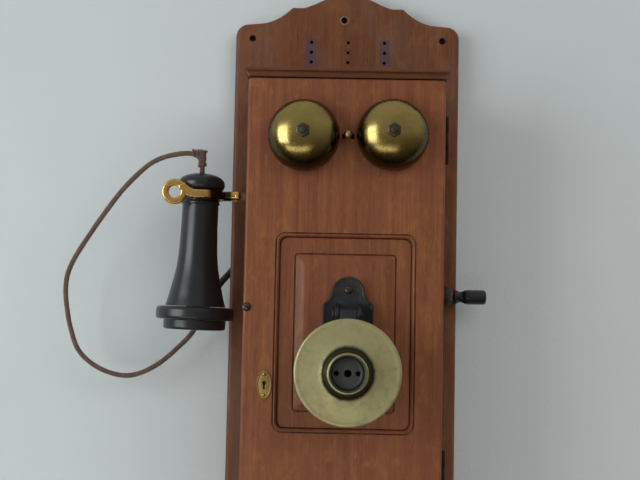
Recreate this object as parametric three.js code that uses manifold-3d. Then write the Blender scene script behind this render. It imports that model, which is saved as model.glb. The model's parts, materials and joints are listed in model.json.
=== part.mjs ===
// Wall telephone with a magneto crank: an oak backboard and cabinet, bells and transmitter on the
// door, receiver on a hook at the left, crank at the right.
// Millimetres. +Z is up, -Y faces the person using it, +X is that person's right.
// The origin is on the back face of the backboard, on its centre line.
import * as THREE from 'three';
import { mergeVertices } from 'three/addons/utils/BufferGeometryUtils.js';
import Module from 'manifold-3d';

const wasm = await Module();
wasm.setup();

// ------------------------------------------------------------------ driving dimensions
const GAP = 0.3; // clearance between neighbouring pieces that touch
const clearHole = 0.3; // added to a pin's radius for its hole

// backboard
const boardWidth = 229;
const boardThick = 20;
const boardBottom = -301.5;
const shoulderZ = 263.5; // height of the two low shoulders
const stepZ = 281.5; // height of the steps beside the arch
const archTop = 295.5;
const archRadius = 60;
const boardEdge = 3; // rounding of the board's edges

// cabinet
const cabinetWidth = 179;
const cabinetTop = 181;
const cabinetBottom = -228;
const sideThick = 12;
const capThick = 8; // top and bottom boards
const capOverhang = 3.5;
const shelfTop = -49;
const shelfThick = 8;

// door
const doorFront = -145; // Y of the door's face
const doorThick = 17.7;
const doorEdge = 1.5;
const panelWidth = 126;
const panelHeight = 178;
const panelX = 1.5;
const panelZ = -49.3;
const panelRadius = 9;
const panelSink = 4; // how far the panel's flat lies behind the door's face
const fieldWidth = 89.5;
const fieldHeight = 139.5;
const fieldRaise = 2.5;

// hinges and lock
const hingeX = cabinetWidth / 2 + 2.6;
const hingeRadius = 2.2;
const hingeLength = 44;
const hingeHeights = [128, -175];
const keyX = -69;
const keyZ = -96.4;
const boltTravel = 6;
const stileX = -86.3; // screw in the door's left stile
const stileZ = -27.6;

// bells and ringer
const bellX = 1.7;
const bellSpacing = 79.6;
const bellZ = 127.5;
const bellRise = 0.75; // the right bell sits a little above the left one
const bellRadius = 32.5;
const bellHeight = 27;
const bellWall = 1.6;
const bellStand = 5.5; // rim to door
const clapperRadius = 4.2;
const rockerZ = 84;
const coilRadius = 11;
const coilSpacing = 34;
const coilHeight = 34;

// transmitter
const mouthX = 4.5;
const mouthZ = -81.5;
const faceRadius = 45.5;
const faceY = doorFront - 57;
const collarRadius = 16.5;
const cupRadius = 37;
const cupDepth = 28;
const pivotY = doorFront - 18;
const pivotZ = -33;
const plateWidth = 44.7;
const plateScrewZ = -11;

// crank and magneto
const gripY = -35; // grip at rest, towards the wall
const crankThrow = 41;
const crankY = gripY - crankThrow; // near the middle of the side's depth, clear of the open door
const crankZ = -13.4;
const shaftRadius = 4;
const gripStart = cabinetWidth / 2 + 20.6;
const gripEnd = gripStart + 32.1;
const gripRadius = 7.3;
const gearTeeth = 40;
const pinionTeeth = 8;
const gearModule = 1.5;
const gearX = 47; // middle of the gear's width
const gearWidth = 6;
const armatureBack = 32; // armature's axis behind the crank's
const magnetoLeft = -43; // left end plate
const magnetoRight = 30;
const endPlate = 3;
const magnetWidth = 28;
const magnetPitch = 31;
const magnetCount = 2;
const magnetX = -20.5; // middle of the first magnet
const magnetTop = 40;
const magnetInner = 28;
const magnetLeg = 8;

// hook
const hookZ = 78.1;
const hookY = -78;
const leverPivotX = -58;
const leverThick = 3;
const leverHeight = 8;
const stubRadius = 4.8;
const neckX = -cabinetWidth / 2 - 48.9; // receiver's axis at the height of the hook
const stubEnd = neckX + 37.4; // inner end of the fork's stub
const forkInner = 19;
const prongThick = 5;
const prongHeight = 8.5;
const eyeX = neckX - 22.4;
const eyeZ = 79.6;
const eyeRadius = 12.2;
const eyeHole = 5.2;

// receiver
const receiverLean = THREE.MathUtils.degToRad(1.4);
const receiverTop = 21.5; // above the hook
const capBottom = 5.4; // underside of the top cap, above the hook's axis
const flangeRadius = 37;
const flangeThick = 12.4;
const shellBottom = -106.5; // end of the flared shell, below the hook's axis
const rimRadius = 29.5;
const rimThick = 9.5;

// cord
const cordRadius = 2.5;
const cordSteps = 42;
const knotRadius = 4.8;
const channelZ = 8.1;
const channelY = -11;
const channelSlope = THREE.MathUtils.degToRad(50);
const sleeveRadius = 3.4;
const cordPoints = [
  [-138.0, -78.0, 100.6],
  [-138.1, -78.0, 108.0],
  [-141.0, -78.0, 115.5],
  [-148.4, -78.0, 119.0],
  [-158.0, -77.6, 119.0],
  [-173.7, -76.0, 116.0],
  [-187.7, -74.0, 109.9],
  [-201.8, -71.0, 98.7],
  [-217.8, -67.0, 82.4],
  [-235.5, -62.0, 59.8],
  [-251.5, -58.0, 36.9],
  [-264.1, -54.0, 17.6],
  [-271.3, -51.0, 1.7],
  [-273.6, -48.0, -14.1],
  [-272.5, -45.0, -31.7],
  [-269.1, -42.0, -51.0],
  [-261.9, -39.0, -72.1],
  [-248.8, -36.0, -86.1],
  [-231.3, -34.0, -95.0],
  [-213.5, -32.0, -98.0],
  [-197.9, -30.0, -94.2],
  [-180.7, -28.0, -84.2],
  [-163.5, -26.0, -68.7],
  [-149.6, -25.0, -53.0],
  [-137.5, -22.5, -30.0],
  [-129.4, -19.2, -12.6],
];
const knotPoints = [
  [-146.5, -78.0, 119.2],
  [-141.6, -78.0, 119.8],
  [-138.4, -78.0, 118.2],
  [-137.6, -78.0, 113.0],
  [-137.9, -78.0, 107.5],
];
const sleevePoints = [
  [-128.7, -18.9, -11.2],
  [-124.9, -16.6, -5.2],
  [-121.0, -13.6, 0.3],
  [-117.5, -11.6, 4.5],
  [-114.5, -11.0, 8.1],
  [-110.6, -11.0, 12.7],
];

const cordReach = neckX + 138.4; // how far the receiver has moved from where the cord was laid out

// ------------------------------------------------------------------ materials
const paint = (color, roughness, metalness) =>
  new THREE.MeshStandardMaterial({ color, roughness, metalness });
const oak = paint(0x7a4a32, 0.45, 0);
const darkOak = paint(0x5f3626, 0.5, 0);
const brass = paint(0xb89548, 0.3, 1);
const paleBrass = paint(0xcabf8e, 0.35, 1);
const blackIron = paint(0x1c1c1d, 0.5, 0.4);
const blackRubber = paint(0x141414, 0.3, 0);
const steel = paint(0x8b8d90, 0.4, 1);
const redSteel = paint(0x6d2320, 0.5, 0.6);
const copperWire = paint(0x8a4b2c, 0.5, 0.6);
const paper = paint(0x8d3b2a, 0.8, 0);
const braid = paint(0x5b4438, 0.9, 0);

// ------------------------------------------------------------------ geometry helpers
const HALF = Math.PI / 2;

// a closed three.js geometry as a solid for cutting and joining
function solid(geometry) {
  const bare = geometry.clone();
  bare.deleteAttribute('normal');
  bare.deleteAttribute('uv');
  const welded = mergeVertices(bare, 1e-4);
  const index = welded.index.array;
  const corners = [];
  for (let i = 0; i < index.length; i += 3) {
    const [a, b, c] = [index[i], index[i + 1], index[i + 2]];
    if (a !== b && b !== c && c !== a) corners.push(a, b, c);
  }
  return new wasm.Manifold(new wasm.Mesh({
    numProp: 3,
    vertProperties: new Float32Array(welded.attributes.position.array),
    triVerts: new Uint32Array(corners),
  }));
}

function geometryOf(body) {
  const mesh = body.getMesh();
  const geometry = new THREE.BufferGeometry();
  geometry.setAttribute('position', new THREE.BufferAttribute(mesh.vertProperties, 3));
  geometry.setIndex(new THREE.BufferAttribute(mesh.triVerts, 1));
  geometry.computeVertexNormals();
  return geometry;
}

function cut(base, ...tools) {
  let body = solid(base);
  for (const tool of tools) body = body.subtract(solid(tool));
  return geometryOf(body);
}

function join(base, ...others) {
  let body = solid(base);
  for (const other of others) body = body.add(solid(other));
  return geometryOf(body);
}

function common(a, b) {
  return geometryOf(solid(a).intersect(solid(b)));
}

function block(x0, x1, y0, y1, z0, z1) {
  const geometry = new THREE.BoxGeometry(x1 - x0, y1 - y0, z1 - z0);
  return geometry.translate((x0 + x1) / 2, (y0 + y1) / 2, (z0 + z1) / 2);
}

// turns a geometry made about +Y so that its axis points along x, -y or z
function along(geometry, axis) {
  if (axis === 'x') return geometry.rotateZ(-HALF);
  if (axis === '-y') return geometry.rotateX(Math.PI);
  if (axis === 'z') return geometry.rotateX(HALF);
  return geometry;
}

// a cylinder from start to end along one axis, through the point given by the other two
function rod(axis, radius, start, end, at, segments = 16) {
  const geometry = new THREE.CylinderGeometry(radius, radius, end - start, segments);
  const middle = (start + end) / 2;
  if (axis === 'x') return geometry.rotateZ(-HALF).translate(middle, at[0], at[1]);
  if (axis === 'y') return geometry.translate(at[0], middle, at[1]);
  return geometry.rotateX(HALF).translate(at[0], at[1], middle);
}

// a turned piece: profile is [radius, height] going counterclockwise, bottom to top outside
function turned(profile, axis, segments = 24) {
  const points = profile.map(([r, h]) => new THREE.Vector2(r, h));
  return along(new THREE.LatheGeometry(points, segments), axis);
}

// a flat shape drawn in X and Z, thickened from yFront back to yBack
function slab(shape, yFront, yBack, options = {}) {
  const bevel = options.bevel ?? 0;
  const geometry = new THREE.ExtrudeGeometry(shape, {
    depth: yBack - yFront - 2 * bevel,
    curveSegments: options.curveSegments ?? 4,
    bevelEnabled: bevel > 0,
    bevelThickness: bevel,
    bevelSize: bevel,
    bevelOffset: -bevel,
    bevelSegments: options.bevelSegments ?? 1,
  });
  return geometry.rotateX(HALF).translate(0, yBack - bevel, 0);
}

function roundedRect(width, height, radius, cx = 0, cz = 0) {
  const shape = new THREE.Shape();
  const [w, h] = [width / 2, height / 2];
  shape.moveTo(cx - w + radius, cz - h);
  shape.lineTo(cx + w - radius, cz - h);
  shape.absarc(cx + w - radius, cz - h + radius, radius, -HALF, 0);
  shape.lineTo(cx + w, cz + h - radius);
  shape.absarc(cx + w - radius, cz + h - radius, radius, 0, HALF);
  shape.lineTo(cx - w + radius, cz + h);
  shape.absarc(cx - w + radius, cz + h - radius, radius, HALF, Math.PI);
  shape.lineTo(cx - w, cz - h + radius);
  shape.absarc(cx - w + radius, cz - h + radius, radius, Math.PI, Math.PI + HALF);
  return shape;
}

// a tube along a smooth curve through the points
function tube(points, radius, steps, sides) {
  const section = new THREE.Shape();
  for (let i = 0; i < sides; i += 1) {
    const angle = (i / sides) * 2 * Math.PI;
    const [x, y] = [radius * Math.cos(angle), radius * Math.sin(angle)];
    if (i === 0) section.moveTo(x, y);
    else section.lineTo(x, y);
  }
  const path = new THREE.CatmullRomCurve3(points.map((p) => new THREE.Vector3(...p)));
  return new THREE.ExtrudeGeometry(section, { steps, extrudePath: path, bevelEnabled: false });
}

// a spur gear outline drawn about the origin
function gearShape(teeth, module, phase = 0) {
  const pitch = (teeth * module) / 2;
  const root = pitch - 1.2 * module;
  const tip = pitch + 0.9 * module;
  const step = (2 * Math.PI) / teeth;
  const shape = new THREE.Shape();
  const corner = (radius, angle, first) => {
    const [x, y] = [radius * Math.cos(angle), radius * Math.sin(angle)];
    if (first) shape.moveTo(x, y);
    else shape.lineTo(x, y);
  };
  for (let i = 0; i < teeth; i += 1) {
    const middle = i * step + phase;
    corner(root, middle - 0.34 * step, i === 0);
    corner(tip, middle - 0.11 * step, false);
    corner(tip, middle + 0.11 * step, false);
    corner(root, middle + 0.34 * step, false);
  }
  return shape;
}

function mesh(parent, name, geometry, material) {
  const piece = new THREE.Mesh(geometry, material);
  piece.name = name;
  parent.add(piece);
  return piece;
}

function group(parent, x = 0, y = 0, z = 0) {
  const made = new THREE.Group();
  made.position.set(x, y, z);
  parent.add(made);
  return made;
}

// a group that turns about a point while its pieces keep the telephone's own coordinates
function pivoted(parent, x, y, z) {
  return group(group(parent, x, y, z), -x, -y, -z);
}

function outline(points) {
  return new THREE.Shape(points.map(([a, b]) => new THREE.Vector2(a, b)));
}

// a flat shape drawn in Y and Z, thickened from x0 to x1
function plank(shape, x0, x1, curveSegments = 8) {
  const geometry = new THREE.ExtrudeGeometry(shape, {
    depth: x1 - x0,
    curveSegments,
    bevelEnabled: false,
  });
  return geometry.rotateX(HALF).rotateZ(HALF).translate(x0, 0, 0);
}

// a flat shape drawn in X and Y, thickened from z0 to z1
function layer(shape, z0, z1, curveSegments = 8) {
  const geometry = new THREE.ExtrudeGeometry(shape, {
    depth: z1 - z0,
    curveSegments,
    bevelEnabled: false,
  });
  return geometry.translate(0, 0, z0);
}

// a straight round bar between two points
function barBetween(from, to, radius, segments = 10) {
  const start = new THREE.Vector3(...from);
  const end = new THREE.Vector3(...to);
  const run = end.clone().sub(start);
  const geometry = new THREE.CylinderGeometry(radius, radius, run.length(), segments);
  const turn = new THREE.Quaternion();
  turn.setFromUnitVectors(new THREE.Vector3(0, 1, 0), run.clone().normalize());
  const middle = start.add(end).multiplyScalar(0.5);
  return geometry.applyQuaternion(turn).translate(middle.x, middle.y, middle.z);
}

// ------------------------------------------------------------------ values worked out from the sizes
const boardFront = -boardThick;
const halfCabinet = cabinetWidth / 2;
const sideInner = halfCabinet - sideThick;
const doorBack = doorFront + doorThick;
const hingeY = doorBack + 0.2; // hinge axis, in the joint between door and cabinet
const panelFace = doorFront + panelSink; // flat of the panel
const fieldFace = panelFace - fieldRaise; // raised field, where the transmitter is fastened
const armatureDistance = (gearModule * (gearTeeth + pinionTeeth)) / 2;
const armatureY = crankY + armatureBack;
const armatureZ = crankZ - Math.sqrt(armatureDistance ** 2 - armatureBack ** 2);

// ------------------------------------------------------------------ backboard
function boardShape() {
  const half = boardWidth / 2;
  const corner = 13;
  const foot = 8;
  const shape = new THREE.Shape();
  const arch = Math.asin(27 / archRadius);
  const archCentre = archTop - archRadius;
  const archEnd = archCentre + archRadius * Math.cos(arch);
  shape.moveTo(-half + foot, boardBottom);
  shape.lineTo(half - foot, boardBottom);
  shape.absarc(half - foot, boardBottom + foot, foot, -HALF, 0);
  shape.lineTo(half, shoulderZ - corner);
  shape.absarc(half - corner, shoulderZ - corner, corner, 0, HALF);
  shape.lineTo(88, shoulderZ + 1.3);
  shape.quadraticCurveTo(72, shoulderZ + 3, 57, stepZ);
  shape.lineTo(46, stepZ);
  shape.quadraticCurveTo(40.4, stepZ + 0.8, 27, archEnd);
  shape.absarc(0, archCentre, archRadius, HALF - arch, HALF + arch);
  shape.quadraticCurveTo(-40.4, stepZ + 0.8, -46, stepZ);
  shape.lineTo(-57, stepZ);
  shape.quadraticCurveTo(-72, shoulderZ + 3, -88, shoulderZ + 1.3);
  shape.lineTo(-half + corner, shoulderZ);
  shape.absarc(-half + corner, shoulderZ - corner, corner, HALF, Math.PI);
  shape.lineTo(-half, boardBottom + foot);
  shape.absarc(-half + foot, boardBottom + foot, foot, Math.PI, Math.PI + HALF);
  return shape;
}

function backboard(parent) {
  const through = [boardFront - 1, 1];
  const screwHoles = [[-97.2, 248], [97.2, 248], [-3.4, 268.2]];
  const tools = screwHoles.map(([x, z]) => rod('y', 2.6, ...through, [x, z], 10));
  for (const x of [-36.6, 0.9, 38.2]) {
    for (const z of [224.4, 234.7, 245]) tools.push(rod('y', 1.5, boardFront - 1, boardFront + 8, [x, z], 6));
  }
  // wire channel from the left edge to the inside of the cabinet
  const reach = 64;
  const [ux, uz] = [Math.cos(channelSlope), Math.sin(channelSlope)];
  const mouth = [-boardWidth / 2, channelY, channelZ];
  const inner = [mouth[0] + reach * ux, channelY, mouth[2] + reach * uz];
  const outer = [mouth[0] - 6 * ux, channelY, mouth[2] - 6 * uz];
  tools.push(barBetween(outer, inner, sleeveRadius + 0.4, 10));
  tools.push(rod('y', 4.5, boardFront - 1, channelY + 3, [inner[0] - 3 * ux, inner[2] - 3 * uz], 12));
  const board = slab(boardShape(), boardFront, 0, { bevel: boardEdge, curveSegments: 5 });
  mesh(parent, 'backboard', cut(board, ...tools), oak);
}

// ------------------------------------------------------------------ cabinet
// top or bottom board: its edge swells outwards in a cove, away from the sides
function capBoard(level, direction) {
  const lip = 2;
  const cove = [];
  for (let i = 0; i <= 4; i += 1) {
    const t = (i / 4) * HALF;
    cove.push([capOverhang * (1 - Math.cos(t)), level + direction * (capThick - lip) * Math.sin(t)]);
  }
  cove.push([capOverhang, level + direction * capThick]);
  const across = [];
  for (const [out, z] of cove) across.push([halfCabinet + out, z]);
  for (const [out, z] of [...cove].reverse()) across.push([-halfCabinet - out, z]);
  const front = cove.map(([out, z]) => [doorFront - out, z]);
  front.push([boardFront - GAP, level + direction * capThick], [boardFront - GAP, level]);
  const sides = slab(outline(across), doorFront - 2 * capOverhang, boardFront - GAP);
  return common(sides, plank(outline(front), -2 * halfCabinet, 2 * halfCabinet));
}

function hingeRecess(z, y0, y1) {
  return block(sideInner - 1, halfCabinet + 1, y0, y1, z - hingeLength / 2 - GAP, z + hingeLength / 2 + GAP);
}

function cabinet(parent) {
  const front = doorBack + 0.4;
  const side = (sign) => {
    const [a, b] = [sign * halfCabinet, sign * sideInner].sort((p, q) => p - q);
    return block(a, b, front, boardFront - GAP, cabinetBottom + GAP, cabinetTop - GAP);
  };
  const slot = block(-halfCabinet - 1, -sideInner + 1, hookY - 2.5, hookY + 2.5, hookZ - 5.5, hookZ + 10.5);
  const mortise = block(-sideInner - boltTravel - 1, -sideInner + 1, front - 1, front + 13, keyZ - 6, keyZ + 6);
  mesh(parent, 'cabinet_side_left', cut(side(-1), slot, mortise), oak);
  const shaftHole = rod('x', 6, sideInner - 1, halfCabinet + 1, [crankY, crankZ]);
  const recesses = hingeHeights.map((z) => hingeRecess(z, front - 1, front + 1.5));
  mesh(parent, 'cabinet_side_right', cut(side(1), shaftHole, ...recesses), oak);
  mesh(parent, 'cabinet_top', capBoard(cabinetTop, 1), darkOak);
  mesh(parent, 'cabinet_bottom', capBoard(cabinetBottom, -1), darkOak);
  const shelf = block(-sideInner + GAP, sideInner - GAP, -105, boardFront - GAP, shelfTop - shelfThick, shelfTop);
  mesh(parent, 'inner_shelf', shelf, oak);
}

// ------------------------------------------------------------------ hinges
function hinge(cabinetParent, doorParent, name, z) {
  const half = hingeLength / 2;
  const knuckle = hingeLength / 3;
  const leaf = 1.2;
  const inset = sideInner + 1;
  const boxY = doorBack + 0.7;
  const doorY = doorBack - 0.3;
  const axis = [hingeX, hingeY];
  const boxBarrel = rod('z', hingeRadius, z - knuckle / 2, z + knuckle / 2, axis, 16);
  const boxPlate = block(inset, hingeX - 1, boxY, boxY + leaf, z - half, z + half);
  const relief = (z0, z1) => rod('z', hingeRadius + GAP, z0, z1, axis, 16);
  const ends = [[z - half - 1, z - knuckle / 2], [z + knuckle / 2, z + half + 1]];
  const boxLeaf = cut(
    join(boxPlate, boxBarrel),
    rod('z', 1.3, z - half - 1, z + half + 1, axis, 12),
    ...ends.map(([a, b]) => relief(a, b)),
  );
  mesh(cabinetParent, `hinge_${name}_cabinet_leaf`, boxLeaf, steel);
  const doorPlate = cut(
    block(inset, hingeX - 0.6, doorY - leaf, doorY, z - half, z + half),
    relief(z - knuckle / 2 - GAP, z + knuckle / 2 + GAP),
  );
  const doorLeaf = join(
    doorPlate,
    rod('z', 1, z - half + 1, z + half - 1, axis, 12),
    rod('z', hingeRadius, z - half, z - knuckle / 2 - GAP, axis, 16),
    rod('z', hingeRadius, z + knuckle / 2 + GAP, z + half, axis, 16),
  );
  mesh(doorParent, `hinge_${name}_door_leaf`, doorLeaf, steel);
}

// ------------------------------------------------------------------ door
function door(parent) {
  const back = doorBack;
  const [top, bottom] = [cabinetTop - 0.6, cabinetBottom + 0.6];
  const middle = (top + bottom) / 2;
  const leaf = slab(roundedRect(cabinetWidth, top - bottom, 2, 0, middle), doorFront, back, { bevel: doorEdge });
  const moulding = 4;
  const opening = (grow, y0, y1, bevel) => {
    const shape = roundedRect(
      panelWidth - 2 * grow, panelHeight - 2 * grow, panelRadius - grow * 0.6, panelX, panelZ);
    return slab(shape, y0, y1, { bevel, bevelSegments: 1 });
  };
  const studs = [-1, 1].map((s) =>
    rod('y', 3.3, doorFront - 1, back + 1, [bellX + (s * bellSpacing) / 2, bellZ + s * bellRise], 16));
  const clapperSlot = block(bellX - 5.6, bellX + 5.6, doorFront - 1, back + 1, bellZ - 2.4, bellZ + 2.4);
  const keyway = rod('y', 3.5, doorFront - 1, back + 1, [keyX, keyZ], 12);
  const stileScrew = rod('y', 2, doorFront - 1, doorFront + 13, [stileX, stileZ], 12);
  const recesses = hingeHeights.map((z) => hingeRecess(z, back - 1.8, back + 1));
  const frame = cut(
    leaf,
    opening(0, doorFront - 12, panelFace, moulding),
    opening(moulding, doorFront - 2, back + 2, 0),
    ...studs,
    clapperSlot,
    keyway,
    stileScrew,
    ...recesses,
  );
  mesh(parent, 'door_frame', frame, oak);
  const inset = moulding + GAP;
  const flat = opening(inset, panelFace, back - GAP, 0);
  const field = slab(
    roundedRect(fieldWidth, fieldHeight, 3, panelX, panelZ),
    fieldFace, panelFace + 6, { bevel: fieldRaise, bevelSegments: 1, curveSegments: 3 });
  const screwHole = rod('y', 2, fieldFace - 1, fieldFace + 10, [mouthX, plateScrewZ], 12);
  mesh(parent, 'door_panel', cut(join(flat, field), screwHole), oak);
}

// round-head screw: head radius, head height and shank, pointing out of the door
function roundScrew(x, z, y, head, shank, length) {
  const height = head * 0.55;
  const profile = [[0, -length], [shank * 0.5, -length], [shank, -length + 3], [shank, 0], [head, 0]];
  for (let i = 1; i <= 4; i += 1) {
    const t = (i / 4) * HALF;
    profile.push([i === 4 ? 0 : head * Math.cos(t), height * Math.sin(t)]);
  }
  const screw = turned(profile, '-y', 14).translate(x, y - GAP, z);
  const slotDepth = height * 0.45;
  const slot = block(x - head, x + head, y - GAP - height - 1, y - GAP - height + slotDepth, z - 0.5, z + 0.5);
  return cut(screw, slot);
}

function doorFittings(parent, boltParent) {
  mesh(parent, 'stile_screw', roundScrew(stileX, stileZ, doorFront, 4, 1.7, 11), brass);
  const plate = new THREE.Shape();
  plate.absellipse(keyX, keyZ, 6.6, 13.2, 0, 2 * Math.PI, false);
  const pins = [-9.2, 9.2].map((dz) => {
    const pin = new THREE.SphereGeometry(1.5, 8, 5);
    return pin.translate(keyX, doorFront - GAP - 1.2, keyZ + dz);
  });
  const keyhole = [
    rod('y', 1.7, doorFront - 3, doorFront, [keyX, keyZ + 1.6], 12),
    block(keyX - 0.8, keyX + 0.8, doorFront - 3, doorFront, keyZ - 4, keyZ + 1.6),
  ];
  const shield = slab(plate, doorFront - GAP - 1.2, doorFront - GAP, { curveSegments: 20 });
  mesh(parent, 'escutcheon', cut(join(shield, ...pins), ...keyhole), brass);
  const caseLeft = -sideInner + 2;
  const caseBack = doorBack + 15;
  const bolt = { top: keyZ + 4.5, bottom: keyZ - 4.5, front: doorBack + 3.4, back: doorBack + 9.4 };
  const shell = cut(
    block(caseLeft, caseLeft + 24, doorBack + GAP, caseBack, keyZ - 14, keyZ + 14),
    block(caseLeft - 1, caseLeft + 16, bolt.front - GAP, bolt.back + GAP, bolt.bottom - GAP, bolt.top + GAP),
    rod('y', 2.5, doorBack - 1, bolt.front, [keyX, keyZ], 12),
  );
  mesh(parent, 'lock_case', shell, steel);
  const bar = block(caseLeft + 0.2, caseLeft + 9, bolt.front, bolt.back, bolt.bottom, bolt.top);
  mesh(boltParent, 'lock_bolt', bar, brass);
}

// ------------------------------------------------------------------ bells and ringer
function bellProfile() {
  const hole = 3.4;
  const dome = [[1, 0], [0.98, 0.27], [0.9, 0.56], [0.74, 0.79], [0.48, 0.94]];
  const outer = dome.map(([r, h]) => [r * bellRadius, h * bellHeight]);
  const inner = dome.map(([r, h]) => [r * (bellRadius - bellWall), h * (bellHeight - bellWall)]);
  return [
    ...outer,
    [hole, bellHeight],
    [hole, bellHeight - bellWall],
    ...inner.reverse(),
    outer[0],
  ];
}

function bell(parent, side, sign) {
  const x = bellX + (sign * bellSpacing) / 2;
  const z = bellZ + sign * bellRise;
  const place = (geometry) => geometry.translate(x, doorFront, z);
  const gong = turned(bellProfile(), '-y', 26).translate(x, doorFront - bellStand, z);
  mesh(parent, `bell_${side}`, gong, brass);
  const seat = bellStand + bellHeight - bellWall - GAP;
  const stud = bellStand + bellHeight + 5.5;
  const post = turned(
    [[0, -12], [3, -12], [3, GAP], [5.5, GAP], [5.5, seat], [3, seat], [3, stud], [0, stud]], '-y', 14);
  mesh(parent, `bell_post_${side}`, place(post), steel);
  const hexagon = new THREE.CylinderGeometry(6.4, 6.4, 4.6, 6);
  const from = bellStand + bellHeight + GAP;
  const nut = cut(
    hexagon.translate(0, from + 2.3, 0),
    new THREE.CylinderGeometry(3.3, 3.3, 8, 12).translate(0, from + 2.3, 0),
  );
  mesh(parent, `bell_nut_${side}`, place(along(nut, '-y')), blackIron);
}

function ringer(doorParent, rockerParent) {
  const plateBack = doorBack + GAP + 2.5;
  const coilY = plateBack + coilRadius + 1.4;
  const poleBase = rockerZ - 50;
  const frame = join(
    block(bellX - 30, bellX + 30, doorBack + GAP, plateBack, poleBase, rockerZ + 12),
    block(bellX - 30, bellX + 30, plateBack - 0.5, coilY + 10, poleBase, poleBase + 4),
    rod('y', 2, plateBack - 0.5, coilY + 7, [bellX, rockerZ], 12),
  );
  mesh(doorParent, 'ringer_frame', frame, steel);
  const cheek = 2;
  const foot = poleBase + 4 + GAP;
  const spool = [
    [0, 0], [coilRadius + 0.6, 0], [coilRadius + 0.6, cheek], [coilRadius - 0.6, cheek],
    [coilRadius - 0.6, coilHeight - cheek], [coilRadius + 0.6, coilHeight - cheek],
    [coilRadius + 0.6, coilHeight], [3.5, coilHeight], [3.5, coilHeight + 3], [0, coilHeight + 3],
  ];
  for (const [side, sign] of [['left', -1], ['right', 1]]) {
    const coil = turned(spool, 'z', 18).translate(bellX + (sign * coilSpacing) / 2, coilY, foot);
    mesh(doorParent, `ringer_coil_${side}`, coil, copperWire);
  }
  const rockerFront = plateBack + 2;
  const rockerBack = coilY + 6;
  const armature = cut(
    join(
      block(bellX - 25, bellX + 25, rockerFront, rockerBack, rockerZ - 5, rockerZ - 1.6),
      rod('y', 5, rockerFront, rockerBack, [bellX, rockerZ], 20),
    ),
    rod('y', 2 + clearHole, rockerFront - 1, rockerBack + 1, [bellX, rockerZ], 12),
  );
  mesh(rockerParent, 'ringer_armature', armature, steel);
  const ballY = doorFront - bellStand - 4;
  const rodY = rockerBack - 4;
  const wire = tube([
    [bellX, rodY, rockerZ + 5 + GAP],
    [bellX, rodY, rockerZ + 20],
    [bellX, rodY - 0.4, bellZ - 12],
    [bellX, rodY - 3, bellZ - 4],
    [bellX, rodY - 9, bellZ - 0.4],
    [bellX, doorBack - 4, bellZ],
    [bellX, ballY, bellZ],
  ], 1.4, 16, 6);
  const ball = new THREE.SphereGeometry(clapperRadius, 14, 8).translate(bellX, ballY, bellZ);
  mesh(rockerParent, 'clapper', join(wire, ball), brass);
}

// ------------------------------------------------------------------ transmitter
function plateShape() {
  const crown = 14.7;
  const half = plateWidth / 2;
  const crownZ = plateScrewZ - 3;
  const shoulder = crownZ - 11;
  const foot = mouthZ - 30;
  const shape = new THREE.Shape();
  shape.moveTo(mouthX - half + 6, foot);
  shape.lineTo(mouthX + half - 6, foot);
  shape.absarc(mouthX + half - 6, foot + 6, 6, -HALF, 0);
  shape.lineTo(mouthX + half, shoulder);
  shape.quadraticCurveTo(mouthX + half, shoulder + 1.6, mouthX + half - 1.6, shoulder + 2.8);
  shape.quadraticCurveTo(mouthX + crown + 1, crownZ - 5, mouthX + crown, crownZ);
  shape.absarc(mouthX, crownZ, crown, 0, Math.PI);
  shape.quadraticCurveTo(mouthX - crown - 1, crownZ - 5, mouthX - half + 1.6, shoulder + 2.8);
  shape.quadraticCurveTo(mouthX - half, shoulder + 1.6, mouthX - half, shoulder);
  shape.lineTo(mouthX - half, foot + 6);
  shape.absarc(mouthX - half + 6, foot + 6, 6, Math.PI, Math.PI + HALF);
  return shape;
}

function transmitterMount(parent) {
  const back = fieldFace - GAP;
  const front = back - 5;
  const earShape = new THREE.Shape();
  earShape.moveTo(front + 1, pivotZ - 10);
  earShape.lineTo(front + 1, pivotZ + 10);
  earShape.lineTo(pivotY, pivotZ + 7);
  earShape.absarc(pivotY, pivotZ, 7, HALF, 3 * HALF);
  const ears = [-1, 1].map((s) => {
    const [a, b] = [mouthX + s * 8, mouthX + s * 11.5].sort((p, q) => p - q);
    return plank(earShape, a, b);
  });
  const casting = cut(
    join(slab(plateShape(), front, back, { bevel: 0.8, curveSegments: 4 }), ...ears),
    rod('x', 2 + clearHole, mouthX - 20, mouthX + 20, [pivotY, pivotZ], 16),
    rod('y', 2, front - 1, back + 1, [mouthX, plateScrewZ], 12),
  );
  mesh(parent, 'transmitter_back_plate', casting, blackIron);
  mesh(parent, 'back_plate_screw', roundScrew(mouthX, plateScrewZ, front, 3.6, 1.7, 12), steel);
  const pin = turned([[0, -14.5], [3.6, -14.5], [3.6, -12], [2, -12], [2, 13], [0, 13]], 'x', 20);
  mesh(parent, 'transmitter_pivot_pin', pin.translate(mouthX, pivotY, pivotZ), steel);
}

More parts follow.
